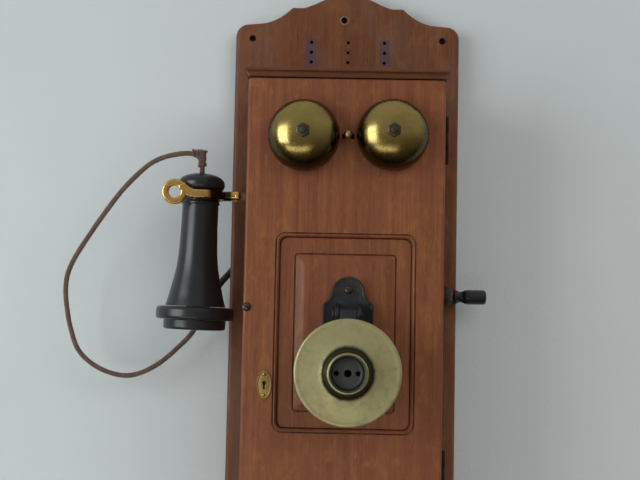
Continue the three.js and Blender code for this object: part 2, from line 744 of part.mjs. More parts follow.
function transmitter(parent) {
  const rim = faceY + 2.6; // back of the faceplate's rim
  const front = rim + GAP; // open end of the cup
  const place = (geometry) => geometry.translate(mouthX, rim, mouthZ);
  const wall = 2.5;
  const bowl = turned([
    [0, -cupDepth], [cupRadius - 12, -cupDepth], [cupRadius - 4, -cupDepth + 4], [cupRadius, -cupDepth + 12],
    [cupRadius, -GAP], [cupRadius - wall, -GAP], [cupRadius - wall, -cupDepth + 12],
    [cupRadius - 6, -cupDepth + 6], [cupRadius - 13, -cupDepth + wall], [0, -cupDepth + wall],
  ], '-y', 28);
  const cupBack = rim + cupDepth;
  const tail = new THREE.Shape();
  tail.moveTo(pivotY + 5.5, pivotZ + 2);
  tail.absarc(pivotY, pivotZ, 6, 0.3, Math.PI - 0.3);
  tail.lineTo(cupBack - 1.5, mouthZ + 22);
  tail.lineTo(cupBack - 1.5, mouthZ + 8);
  tail.lineTo(cupBack + 3, mouthZ + 8);
  const cup = cut(
    join(place(bowl), plank(tail, mouthX - 7.5, mouthX + 7.5)),
    rod('x', 2 + clearHole, mouthX - 20, mouthX + 20, [pivotY, pivotZ], 16),
  );
  mesh(parent, 'transmitter_cup', cup, blackIron);
  const sheet = 1.6;
  const r = faceRadius;
  const neck = collarRadius + 1.6;
  const face = turned([
    [r - 1, 0], [r, 1.4], [r - 1.4, 3], [r - 16, 4], [neck + 4.6, 5], [neck + 1.8, 8], [neck, 14],
    [neck - sheet, 14], [neck + 0.2, 8 - sheet], [neck + 3.6, 5 - sheet], [r - 16, 4 - sheet],
    [r - 6, 3.4 - sheet], [r - 6, 0], [r - 1, 0],
  ], '-y', 32);
  mesh(parent, 'transmitter_faceplate', place(face), paleBrass);
  const c = collarRadius - GAP;
  const ring = turned([
    [c - 2.6, 4], [c - 0.2, 4], [c - 0.2, 14 + GAP], [c + 1.2, 14 + GAP], [c + 1.2, 16], [c, 17], [c - 1.8, 17],
    [c - 2.6, 16], [c - 2.6, 4],
  ], '-y', 28);
  mesh(parent, 'mouthpiece_collar', place(ring), brass);
  const disc = new THREE.CylinderGeometry(c - 2.9, c - 2.9, 2, 24).translate(0, 8, 0);
  const bores = [[-9.6, 2.2, 2], [0, 3.2, 0], [8.6, 2.2, 0]].map(([x, radius]) =>
    new THREE.CylinderGeometry(radius, radius, 6, 10).translate(x, 8, 0));
  mesh(parent, 'mouthpiece_guard', place(along(cut(disc, ...bores), '-y')), blackIron);
  const button = turned([
    [0, -16], [11, -16], [12, -15], [12, -6], [22, -6], [22, -4], [0, -4]], '-y', 20);
  mesh(parent, 'carbon_button', place(button), steel);
}

// ------------------------------------------------------------------ crank and magneto
function crank(crankParent, gripParent) {
  const shaft = rod('x', shaftRadius, magnetoLeft - 4, halfCabinet + 14.5, [crankY, crankZ]);
  mesh(crankParent, 'crank_shaft', shaft, steel);
  const hub = 9;
  const tip = 7.2;
  const tipY = gripY;
  const bar = new THREE.Shape();
  bar.absarc(crankY, crankZ, hub, 0.12 + HALF, -0.12 - HALF + 2 * Math.PI);
  bar.absarc(tipY, crankZ, tip, -HALF - 0.03, HALF + 0.03);
  const arm = cut(
    join(
      plank(bar, halfCabinet + 7.5, halfCabinet + 12),
      rod('x', hub, halfCabinet + 4.5, halfCabinet + 13.5, [crankY, crankZ]),
      rod('x', 2.5, halfCabinet + 11.5, gripEnd - 4, [tipY, crankZ], 16),
    ),
    rod('x', shaftRadius + clearHole, halfCabinet, halfCabinet + 20, [crankY, crankZ]),
  );
  mesh(crankParent, 'crank_arm', arm, blackIron);
  const bore = 2.5 + clearHole;
  const length = gripEnd - gripStart;
  const g = gripRadius;
  const grip = turned([
    [bore, 0], [g, 0], [g, 3], [g - 1.6, 4.2], [g - 2.1, 7], [g - 1.2, 9.2], [g, 11], [g, length - 2],
    [g - 0.8, length - 0.6], [g - 2, length], [0, length], [0, length - 3.4], [bore, length - 3.4], [bore, 0],
  ], 'x', 20);
  mesh(gripParent, 'crank_grip', grip.translate(gripStart, tipY, crankZ), blackRubber);
}

function crankBushing(parent) {
  const bore = shaftRadius + clearHole;
  const bushing = turned([
    [bore, -13], [5.7, -13], [5.7, GAP], [9, GAP], [9, 1.8], [8, 2.6], [bore, 2.6], [bore, -13],
  ], 'x', 20);
  mesh(parent, 'crank_bushing', bushing.translate(halfCabinet, crankY, crankZ), brass);
}

function magneto(parent, crankParent, armatureParent) {
  const foot = shelfTop + GAP;
  const plate = outline([[crankY - 8, foot], [armatureY + 22, foot], [armatureY + 22, -10],
    [crankY + 12, 4], [crankY - 8, 4]]);
  const bearings = [
    rod('x', shaftRadius + clearHole, -60, 60, [crankY, crankZ], 20),
    rod('x', 3 + clearHole, -60, 60, [armatureY, armatureZ], 20),
  ];
  const ends = [['left', magnetoLeft], ['right', magnetoRight]];
  for (const [side, x] of ends) {
    mesh(parent, `magneto_plate_${side}`, cut(plank(plate, x, x + endPlate), ...bearings), brass);
  }
  const outer = magnetInner / 2 + magnetLeg;
  const bow = new THREE.Shape();
  bow.moveTo(armatureY + outer, foot);
  bow.lineTo(armatureY + outer, magnetTop - outer);
  bow.absarc(armatureY, magnetTop - outer, outer, 0, Math.PI);
  bow.lineTo(armatureY - outer, foot);
  bow.lineTo(armatureY - magnetInner / 2, foot);
  bow.lineTo(armatureY - magnetInner / 2, magnetTop - outer);
  bow.absarc(armatureY, magnetTop - outer, magnetInner / 2, Math.PI, 0, true);
  bow.lineTo(armatureY + magnetInner / 2, foot);
  for (let i = 0; i < magnetCount; i += 1) {
    const x = magnetX + i * magnetPitch;
    mesh(parent, `magneto_magnet_${i + 1}`, plank(bow, x - magnetWidth / 2, x + magnetWidth / 2, 10), redSteel);
  }
  const lineAngle = Math.atan2(armatureZ - crankZ, armatureY - crankY);
  const [x0, x1] = [gearX - gearWidth / 2, gearX + gearWidth / 2];
  const wheel = plank(gearShape(gearTeeth, gearModule, lineAngle), x0, x1).translate(0, crankY, crankZ);
  const gearBore = rod('x', shaftRadius + clearHole, x0 - 1, x1 + 1, [crankY, crankZ], 20);
  mesh(crankParent, 'drive_gear', cut(wheel, gearBore), brass);
  const facing = lineAngle + Math.PI + Math.PI / pinionTeeth;
  const pinion = plank(gearShape(pinionTeeth, gearModule, facing), x0 - 0.5, x1 + 0.5);
  const coreEnd = magnetX + (magnetCount - 0.5) * magnetPitch;
  const rotor = join(
    rod('x', 3, magnetoLeft - 4, x1 + 2, [armatureY, armatureZ], 16),
    rod('x', magnetInner / 2 - 2.5, magnetX - magnetWidth / 2, coreEnd, [armatureY, armatureZ], 28),
    pinion.translate(0, armatureY, armatureZ),
  );
  mesh(armatureParent, 'magneto_armature', rotor, steel);
}

// ------------------------------------------------------------------ hook switch
function hookFork() {
  const outer = forkInner + prongThick;
  const half = prongHeight / 2;
  const frontY = hookY - outer;
  const plan = new THREE.Shape();
  const rearTip = neckX - 19;
  plan.moveTo(neckX - 1, hookY - outer);
  plan.lineTo(neckX, hookY - outer);
  plan.absarc(neckX, hookY, outer, -HALF, HALF);
  plan.lineTo(rearTip, hookY + outer);
  plan.absarc(rearTip, hookY + outer - prongThick / 2, prongThick / 2, HALF, 3 * HALF);
  plan.lineTo(neckX, hookY + forkInner);
  plan.absarc(neckX, hookY, forkInner, HALF, -HALF, true);
  plan.lineTo(neckX - 1, hookY - forkInner);
  const yoke = layer(plan, hookZ - half, hookZ + half, 8);
  const stub = rod('x', stubRadius, neckX + outer - 3, stubEnd, [hookY, hookZ], 20);
  const band = new THREE.CubicBezierCurve(
    new THREE.Vector2(neckX + 2, hookZ),
    new THREE.Vector2(neckX - 7, hookZ),
    new THREE.Vector2(eyeX + 13, eyeZ - 0.5),
    new THREE.Vector2(eyeX + 6.3, eyeZ + 6.3),
  );
  const [upper, lower] = [[], []];
  for (let i = 0; i <= 10; i += 1) {
    const at = band.getPoint(i / 10);
    const run = band.getTangent(i / 10);
    upper.push([at.x - run.y * half, at.y + run.x * half]);
    lower.push([at.x + run.y * half, at.y - run.x * half]);
  }
  const slice = { curveSegments: 16, bevel: 0 };
  const prong = slab(outline([...upper, ...lower.reverse()]), frontY, frontY + prongThick, slice);
  const eye = new THREE.Shape();
  eye.absarc(eyeX, eyeZ, eyeRadius, 0, 2 * Math.PI);
  const ring = slab(eye, frontY, frontY + prongThick, slice);
  const hole = rod('y', eyeHole, frontY - 1, frontY + prongThick + 1, [eyeX, eyeZ], 24);
  return cut(join(yoke, stub, prong, ring), hole);
}

function hookSwitch(parent, hookParent) {
  mesh(hookParent, 'hook_fork', hookFork(), brass);
  const half = leverThick / 2;
  const [top, bottom] = [hookZ + leverHeight / 2, hookZ - leverHeight / 2];
  const lever = cut(
    join(
      block(stubEnd + GAP, leverPivotX + 14, hookY - half, hookY + half, bottom, top),
      rod('y', 7, hookY - half, hookY + half, [leverPivotX, hookZ], 24),
    ),
    rod('y', 2.4 + clearHole, hookY - 5, hookY + 5, [leverPivotX, hookZ], 16),
  );
  mesh(hookParent, 'hook_lever', lever, steel);
  const armBack = hookY + half + 2;
  const bracket = join(
    block(leverPivotX - 12, leverPivotX + 12, boardFront - GAP - 2.5, boardFront - GAP, hookZ - 18, hookZ + 18),
    block(leverPivotX - 4, leverPivotX + 4, armBack, boardFront - GAP - 2, hookZ - 6, hookZ + 6),
    rod('y', 2.4, hookY - half - 3, armBack + 1, [leverPivotX, hookZ], 16),
  );
  mesh(parent, 'hook_bracket', bracket, steel);
  const postX = leverPivotX + 28;
  const leaf = 0.8;
  const leaves = [-12.5, -8.5, 9].map((dz) =>
    block(postX - 18, postX + 1, hookY - 4, hookY + 4, hookZ + dz - leaf / 2, hookZ + dz + leaf / 2));
  const springs = join(
    block(postX, postX + 9, hookY - 6, hookY + 6, hookZ - 16, hookZ + 13),
    block(postX, postX + 9, hookY + 5, boardFront - GAP, hookZ - 16, hookZ - 8),
    ...leaves,
  );
  mesh(parent, 'contact_springs', springs, brass);
}

// ------------------------------------------------------------------ receiver
function receiver(parent) {
  const held = group(parent, neckX, hookY, hookZ);
  held.rotation.y = receiverLean;
  const cordHole = 3;
  const cap = turned([
    [cordHole, capBottom], [19.5, capBottom], [22.3, capBottom + 4], [22.3, capBottom + 7.3],
    [19, receiverTop - 4], [12, receiverTop - 0.9], [6, receiverTop], [cordHole, receiverTop],
    [cordHole, capBottom],
  ], 'z', 26);
  mesh(held, 'receiver_top_cap', cap, blackRubber);
  const end = shellBottom + GAP;
  const shellTop = capBottom - GAP;
  const outer = [[28.7, end], [26.5, -98.8], [24, -88], [20.5, -73], [18.4, -58], [17.4, -20]];
  const wall = 3;
  const inner = outer.map(([r, z]) => [r - wall, z]).reverse();
  const shell = turned([
    ...outer, [17, shellTop], [cordHole, shellTop], [cordHole, shellTop - wall], [14, shellTop - wall], ...inner,
    outer[0],
  ], 'z', 24);
  mesh(held, 'receiver_shell', shell, blackRubber);
  const top = shellBottom;
  const bottom = top - flangeThick;
  const low = bottom - rimThick;
  const ear = turned([
    [6, low + 4], [10, low + 1], [rimRadius - 1.5, low], [rimRadius, low + 1.5], [rimRadius, bottom],
    [flangeRadius - 1.5, bottom], [flangeRadius, bottom + 1.5], [flangeRadius, top - 1.5],
    [flangeRadius - 1.5, top], [27, top], [27, bottom - 2], [6, bottom - 2], [6, low + 4],
  ], 'z', 28);
  mesh(held, 'ear_cap', ear, blackRubber);
  const disc = turned([[0, top - 5], [26.4, top - 5], [26.4, top - 4], [0, top - 4]], 'z', 20);
  mesh(held, 'receiver_diaphragm', disc, steel);
  const magnet = join(
    block(-6, 6, -4, 4, -92, -20),
    rod('z', 9, top - 2.5, -91, [0, 0], 24),
  );
  mesh(held, 'receiver_magnet', magnet, redSteel);
}

// ------------------------------------------------------------------ cord
function cord(sleeveParent, cordParent) {
  const last = cordPoints.length - 1;
  const route = cordPoints.map(([x, y, z], i) => [x + cordReach * (1 - i / last), y, z]);
  mesh(cordParent, 'receiver_cord', tube(route, cordRadius, cordSteps, 8), braid);
  const bound = knotPoints.map(([x, y, z]) => [x + cordReach, y, z]);
  const wrap = tube(bound, knotRadius, 8, 10);
  const through = tube(route, cordRadius + 2 * GAP, cordSteps, 8);
  mesh(cordParent, 'cord_knot', cut(wrap, through), braid);
  mesh(sleeveParent, 'cord_sleeve', tube(sleevePoints, sleeveRadius, 8, 10), blackRubber);
}

// ------------------------------------------------------------------ power
function dryCell(parent, name, x) {
  const radius = 31.5;
  const height = 150;
  const foot = cabinetBottom + GAP;
  const can = turned([
    [0, 0], [radius, 0], [radius, height], [radius - 2.5, height], [radius - 2.5, height - 2], [0, height - 2]],
  'z', 24);
  const post = rod('z', 4, height - 3, height + 9, [0, 0], 12);
  const edgePost = rod('z', 2.5, height - 1, height + 8, [radius - 4, 0], 12);
  const cell = join(can, post, edgePost);
  mesh(parent, name, cell.translate(x, -62, foot), paper);
}

function inductionCoil(parent) {
  const [x, z] = [45, 100];
  const back = boardFront - GAP;
  const [front, middle] = [back - 28, back - 14];
  const coil = join(
    block(x - 14, x + 14, front, back, z, z + 4),
    rod('z', 10, z + 3, z + 62, [x, middle], 24),
    block(x - 14, x + 14, front, back, z + 61, z + 65),
  );
  mesh(parent, 'induction_coil', coil, copperWire);
}

// ------------------------------------------------------------------ the telephone
const phone = new THREE.Group();
backboard(phone);
cabinet(phone);
const doorGroup = pivoted(phone, hingeX, hingeY, 0);
door(doorGroup);
hinge(phone, doorGroup, 'upper', hingeHeights[0]);
hinge(phone, doorGroup, 'lower', hingeHeights[1]);
doorFittings(doorGroup, group(doorGroup));
bell(doorGroup, 'left', -1);
bell(doorGroup, 'right', 1);
ringer(doorGroup, pivoted(doorGroup, bellX, 0, rockerZ));
transmitterMount(doorGroup);
transmitter(pivoted(doorGroup, 0, pivotY, pivotZ));
const crankGroup = pivoted(phone, 0, crankY, crankZ);
crank(crankGroup, pivoted(crankGroup, 0, gripY, crankZ));
crankBushing(phone);
magneto(phone, crankGroup, pivoted(phone, 0, armatureY, armatureZ));
hookSwitch(phone, pivoted(phone, leverPivotX, 0, hookZ));
receiver(phone);
cord(phone, phone);
dryCell(phone, 'dry_cell_left', -34.5);
dryCell(phone, 'dry_cell_right', 34.5);
inductionCoil(phone);

export default phone;
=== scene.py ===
"""A wall telephone with a magneto crank: oak case, brass bells, transmitter, side receiver."""

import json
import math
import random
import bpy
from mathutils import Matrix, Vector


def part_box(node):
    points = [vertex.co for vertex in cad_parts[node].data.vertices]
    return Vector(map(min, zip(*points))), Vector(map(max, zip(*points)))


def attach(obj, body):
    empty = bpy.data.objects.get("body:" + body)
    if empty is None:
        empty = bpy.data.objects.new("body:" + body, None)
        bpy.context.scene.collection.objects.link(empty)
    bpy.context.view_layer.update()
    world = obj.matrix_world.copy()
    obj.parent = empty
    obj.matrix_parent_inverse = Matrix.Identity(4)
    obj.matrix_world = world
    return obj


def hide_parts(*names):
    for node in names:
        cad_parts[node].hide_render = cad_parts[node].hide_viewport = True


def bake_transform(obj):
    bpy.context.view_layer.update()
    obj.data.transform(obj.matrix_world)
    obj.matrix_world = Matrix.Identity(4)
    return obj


bl_info = {
    "name": "Magneto Wall Telephone",
    "version": (1, 0, 0),
    "blender": (4, 5, 0),
    "location": "3D View > Sidebar > Telephone",
    "description": "Builds the finished look of a wooden wall telephone around its moving frame",
    "category": "Object",
}

import bmesh
import bpy
from bpy.props import FloatProperty, FloatVectorProperty, IntProperty, PointerProperty
from mathutils import Matrix, Vector

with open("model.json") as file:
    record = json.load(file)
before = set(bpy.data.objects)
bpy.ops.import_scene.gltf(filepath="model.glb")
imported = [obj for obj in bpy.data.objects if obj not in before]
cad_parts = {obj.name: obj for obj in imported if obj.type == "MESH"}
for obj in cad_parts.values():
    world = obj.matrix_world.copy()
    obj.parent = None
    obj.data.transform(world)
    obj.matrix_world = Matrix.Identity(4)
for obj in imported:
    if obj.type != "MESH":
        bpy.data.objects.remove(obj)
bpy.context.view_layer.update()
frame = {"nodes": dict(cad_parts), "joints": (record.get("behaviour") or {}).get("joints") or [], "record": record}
MM = 0.001
NODES = frame["nodes"]
BODY_OF = {node: body for body, nodes in frame["record"]["behaviour"]["bodies"].items() for node in nodes}
JOINTS = {joint["name"]: joint for joint in frame["joints"]}


# ---------------------------------------------------------------- where things are
def low(node):
    """Lowest corner of a frame node, in millimetres."""
    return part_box(node)[0] / MM


def high(node):
    """Highest corner of a frame node, in millimetres."""
    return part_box(node)[1] / MM


def middle(node):
    return (low(node) + high(node)) / 2


def pivot(joint):
    return Vector(JOINTS[joint]["pos_m"]) / MM


# ---------------------------------------------------------------- settings
class WoodSettings(bpy.types.PropertyGroup):
    """Colours and grain of the varnished oak."""

    light: FloatVectorProperty(
        name="Light Wood", description="Colour of the early wood", subtype="COLOR", size=3,
        default=(0.27, 0.096, 0.039), min=0, max=1)
    dark: FloatVectorProperty(
        name="Dark Wood", description="Colour of the late wood and the pores", subtype="COLOR", size=3,
        default=(0.158, 0.049, 0.022), min=0, max=1)
    fleck: FloatProperty(
        name="Ray Fleck", description="How strongly the pale ray flecks of sawn oak show",
        default=0.3, min=0, max=1, subtype="FACTOR")
    shine: FloatProperty(
        name="Varnish Roughness", description="Roughness of the varnish", default=0.42, min=0, max=1,
        subtype="FACTOR")


class MetalSettings(bpy.types.PropertyGroup):
    """Colours of the brass."""

    bell: FloatVectorProperty(
        name="Bell Brass", description="Colour of the bell gongs", subtype="COLOR", size=3,
        default=(0.43, 0.325, 0.11), min=0, max=1)
    face: FloatVectorProperty(
        name="Face Brass", description="Colour of the transmitter's pale face", subtype="COLOR", size=3,
        default=(0.47, 0.43, 0.225), min=0, max=1)
    hook: FloatVectorProperty(
        name="Hook Brass", description="Colour of the polished hook", subtype="COLOR", size=3,
        default=(0.8, 0.5, 0.14), min=0, max=1)


class CordSettings(bpy.types.PropertyGroup):
    """Size and colour of the receiver cord."""

    diameter: FloatProperty(
        name="Cord Diameter", description="Thickness of the braided cord", default=0.005, min=0.003,
        max=0.007, unit="LENGTH", subtype="DISTANCE")
    colour: FloatVectorProperty(
        name="Braid", description="Colour of the braid", subtype="COLOR", size=3,
        default=(0.15, 0.092, 0.068), min=0, max=1)
    seed: IntProperty(name="Fray Seed", description="Arrangement of the loose threads", default=4, min=0)


# ---------------------------------------------------------------- mesh helpers, sizes in millimetres
def smooth(mesh, sharp=35):
    """Smooth shading apart from edges over an angle."""
    mesh.shade_smooth()
    mesh.set_sharp_from_angle(angle=math.radians(sharp))


def link(name, mesh, *materials):
    """A new object with a mesh in the frame's coordinates."""
    for material in materials:
        mesh.materials.append(material)
    piece = bpy.data.objects.new(name, mesh)
    bpy.context.scene.collection.objects.link(piece)
    return piece


def outward(bm):
    """Turns the faces of every closed shell outwards."""
    bmesh.ops.remove_doubles(bm, verts=bm.verts, dist=0.003 * MM)
    bmesh.ops.recalc_face_normals(bm, faces=bm.faces)
    left = set(bm.faces)
    while left:
        shell, rim = [], [left.pop()]
        while rim:
            face = rim.pop()
            shell.append(face)
            for edge in face.edges:
                fresh = [other for other in edge.link_faces if other in left]
                left.difference_update(fresh)
                rim.extend(fresh)
        volume = 0
        for face in shell:
            first, *rest = [v.co for v in face.verts]
            volume += sum(first.dot(a.cross(b)) for a, b in zip(rest, rest[1:]))
        if volume < 0:
            bmesh.ops.reverse_faces(bm, faces=shell)
    return bm


def from_bmesh(name, bm, *materials, sharp=35):
    outward(bm)
    mesh = bpy.data.meshes.new(name)
    bm.to_mesh(mesh)
    bm.free()
    smooth(mesh, sharp)
    return link(name, mesh, *materials)


def trim(piece, beside):
    """An extra piece that moves with a frame node."""
    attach(piece, BODY_OF[beside])


def fit(piece, node):
    """The piece takes the place of a frame node and moves with it."""
    trim(piece, node)
    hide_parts(node)


def loft(bm, loops, closed=False):
    """Skins a row of loops that have equally many points. A loop of one point is a pole."""
    rows = [[bm.verts.new(Vector(p) * MM) for p in loop] for loop in loops]
    if closed:
        rows.append(rows[0])
    for a, b in zip(rows, rows[1:]):
        count = max(len(a), len(b))
        for i in range(count):
            j = (i + 1) % count
            ring = [a[i % len(a)], a[j % len(a)], b[j % len(b)], b[i % len(b)]]
            corners = [v for k, v in enumerate(ring) if v not in ring[:k]]
            if len(corners) > 2:
                bm.faces.new(corners)
    ends = [] if closed else [rows[0], rows[-1]]
    for row in ends:
        if len(row) > 2:
            bm.faces.new(row)
    return bm


def at_depths(rows):
    """Loops for a loft from rows of (outline, depth), drawn in the XZ plane."""
    return [[(x, y, z) for x, z in outline] for outline, y in rows]


AXES = {
    "z": Matrix.Identity(3),
    "y": Matrix(((1, 0, 0), (0, 0, 1), (0, -1, 0))),
    "x": Matrix(((0, 0, 1), (0, 1, 0), (-1, 0, 0))),
}


def turn(bm, profile, axis, centre, segments=64, closed=False, turning=None):
    """Turns a profile of (radius, height) about an axis through the centre."""
    basis = turning or AXES[axis]
    loops = []
    for radius, height in profile:
        if radius < 1e-4:
            loops.append([Vector(centre) + basis @ Vector((0, 0, height))])
            continue
        loop = []
        for i in range(segments):
            a = 2 * math.pi * i / segments
            spoke = Vector((radius * math.cos(a), radius * math.sin(a), height))
            loop.append(Vector(centre) + basis @ spoke)
        loops.append(loop)
    return loft(bm, loops, closed)


def rod(bm, radius, start, end, axis, centre, segments):
    return turn(bm, [(0, start), (radius, start), (radius, end), (0, end)], axis, centre, segments)


def filleted(points, radius=0.5, steps=4, closed=False):
    """Rounds the corners of a profile."""
    out = []
    count = len(points)
    for i, p in enumerate(points):
        if not closed and i in (0, count - 1):
            out.append(tuple(p))
            continue
        here = Vector(p)
        before, after = Vector(points[i - 1]), Vector(points[(i + 1) % count])
        reach = min(radius, 0.45 * (here - before).length, 0.45 * (after - here).length)
        start = here + (before - here).normalized() * reach
        end = here + (after - here).normalized() * reach
        out += [tuple(start)] + quadratic(start, here, end, steps)
    return out


def turned(name, profile, axis, centre, *materials, segments=64, round_by=0.5, closed=False, sharp=35,
           turning=None):
    shape = filleted(profile, round_by, closed=closed) if round_by else profile
    bm = turn(bmesh.new(), shape, axis, centre, segments, closed, turning)
    return from_bmesh(name, bm, *materials, sharp=sharp)


def arc(cx, cz, radius, start, end, steps=8):
    """Points on a circle from one angle to another."""
    angles = [start + (end - start) * k / steps for k in range(steps + 1)]
    return [(cx + radius * math.cos(a), cz + radius * math.sin(a)) for a in angles]


def box_loop(x0, x1, z0, z1, radius, steps=5):
    """A rectangle with round corners as (x, z) points."""
    corners = [(x1 - radius, z1 - radius), (x0 + radius, z1 - radius),
               (x0 + radius, z0 + radius), (x1 - radius, z0 + radius)]
    out = []
    for quarter, (cx, cz) in enumerate(corners):
        out += arc(cx, cz, radius, quarter * math.pi / 2, (quarter + 1) * math.pi / 2, steps)
    return out


def quadratic(a, control, b, steps=8):
    """Points after the first on a curve that bends towards its control point."""
    out = []
    for k in range(1, steps + 1):
        t = k / steps
        out.append(tuple((1 - t) ** 2 * Vector(a) + 2 * t * (1 - t) * Vector(control) + t * t * Vector(b)))
    return out


def counterclockwise(outline):
    area = sum(a[0] * b[1] - b[0] * a[1] for a, b in zip(outline, outline[1:] + outline[:1]))
    return outline if area > 0 else outline[::-1]


def inset(outline, by):
    """The outline moved inwards, for an outline that runs counterclockwise."""
    out = []
    count = len(outline)
    for i, p in enumerate(outline):
        here = Vector(p)
        back = (here - Vector(outline[i - 1])).normalized()
        ahead = (Vector(outline[(i + 1) % count]) - here).normalized()
        tangent = (back + ahead).normalized()
        stretch = max(0.5, tangent.dot(ahead))
        out.append(tuple(here + Vector((-tangent.y, tangent.x)) * (by / stretch)))
    return out


def flat_xz(u, v, depth):
    return (u, depth, v)


def flat_yz(u, v, depth):
    return (depth, u, v)


def slab(bm, outline, front, back, edge=0.5, steps=3, back_edge=None, lay=flat_xz):
    """A board whose front and back edges are rounded, drawn in one plane."""
    back_edge = edge if back_edge is None else back_edge
    rounding = [(1 - v, 1 - u) for u, v in arc(0, 0, 1, 0, math.pi / 2, steps)]
    rows = [(front + edge * rise, edge * run) for rise, run in rounding[::-1]]
    rows += [(back - back_edge * rise, back_edge * run) for rise, run in rounding]
    return loft(bm, [[lay(u, v, depth) for u, v in inset(outline, by)] for depth, by in rows])


def bar(bm, lo, hi, edge):
    """A box with rounded edges."""
    (x0, y0, z0), (x1, y1, z1) = lo, hi
    return slab(bm, box_loop(x0, x1, z0, z1, edge, 2), y0, y1, edge, 2)


def carve(piece, cutter, operation="DIFFERENCE", lining=-1):
    """Cuts one bmesh out of a piece, or joins it on; its faces take the material with that number."""
    outward(cutter)
    mesh = bpy.data.meshes.new("tool")
    cutter.to_mesh(mesh)
    cutter.free()
    if lining is not None:
        for face in mesh.polygons:
            face.material_index = lining % len(piece.data.materials)
    tool = link("tool", mesh, *piece.data.materials)
    modifier = piece.modifiers.new("cut", "BOOLEAN")
    modifier.operation = operation
    modifier.solver = "EXACT"
    modifier.use_self = True
    modifier.object = tool
    settle(piece)
    if not piece.data.polygons:
        raise RuntimeError(f"nothing is left of {piece.name}")
    bpy.data.objects.remove(tool)
    bpy.data.meshes.remove(mesh)


def settle(piece, sharp=35):
    """Applies the modifiers of a piece."""
    bpy.context.view_layer.update()
    graph = bpy.context.evaluated_depsgraph_get()
    mesh = bpy.data.meshes.new_from_object(piece.evaluated_get(graph))
    old = piece.data
    piece.modifiers.clear()
    piece.data = mesh
    bpy.data.meshes.remove(old)
    smooth(mesh, sharp)


def cast(piece, voxel, passes):
    """Fuses overlapping shells into one casting with soft edges."""
    remesh = piece.modifiers.new("fuse", "REMESH")
    remesh.mode = "VOXEL"
    remesh.voxel_size = voxel * MM
    soften = piece.modifiers.new("soften", "SMOOTH")
    soften.factor = 0.5
    soften.iterations = passes
    settle(piece, sharp=60)


def smooth_path(points, step=1.0):
    """Evenly spaced points on a smooth curve through the given ones."""
    ends = [2 * Vector(points[0]) - Vector(points[1])]
    ends += [Vector(p) for p in points] + [2 * Vector(points[-1]) - Vector(points[-2])]
    fine = []
    for a, b, c, d in zip(ends, ends[1:], ends[2:], ends[3:]):
        for k in range(24):
            t = k / 24
            fine.append(0.5 * (2 * b + (c - a) * t + (2 * a - 5 * b + 4 * c - d) * t ** 2
                               + (3 * b - 3 * c + d - a) * t ** 3))
    fine.append(Vector(points[-1]))
    total = sum((q - p).length for p, q in zip(fine, fine[1:]))
    count = max(2, round(total / step))
    out, walked, target = [fine[0]], 0, total / count
    for p, q in zip(fine, fine[1:]):
        run = (q - p).length
        while walked + run >= target - 1e-9 and len(out) < count:
            out.append(p.lerp(q, (target - walked) / run))
            target += total / count
        walked += run
    return out + [fine[-1]]


def tube(bm, path, radius, sides=12, relief=None):
    """A round tube along a path; radius may be a function of the share of the way along."""
    loops = []
    side = Vector((0, 1, 0))
    for i, p in enumerate(path):
        ahead = (path[min(i + 1, len(path) - 1)] - path[max(i - 1, 0)]).normalized()
        side = (side - ahead * side.dot(ahead)).normalized()
        other = ahead.cross(side)
        share = i / (len(path) - 1)
        size = radius(share) if callable(radius) else radius
        loop = []
        for k in range(sides):
            a = 2 * math.pi * k / sides
            grown = size + (relief(i, k) if relief else 0)
            loop.append(p + side * (grown * math.cos(a)) + other * (grown * math.sin(a)))
        loops.append(loop)
    return loft(bm, loops)


def dress(recipe, bevel, *nodes):
    """Gives frame nodes their finish, with their edges softened."""
    for node in nodes:
        piece = NODES[node]
        piece.data.materials.clear()
        piece.data.materials.append(finish(recipe))
        for face in piece.data.polygons:
            face.material_index = 0
        piece.modifiers.new("weld", "WELD").merge_threshold = 0.02 * MM
        soften = piece.modifiers.new("soften", "BEVEL")
        soften.width = bevel * MM
        soften.segments = 2
        soften.limit_method = "ANGLE"
        soften.angle_limit = math.radians(35)
        soften.harden_normals = False
        smooth(piece.data)


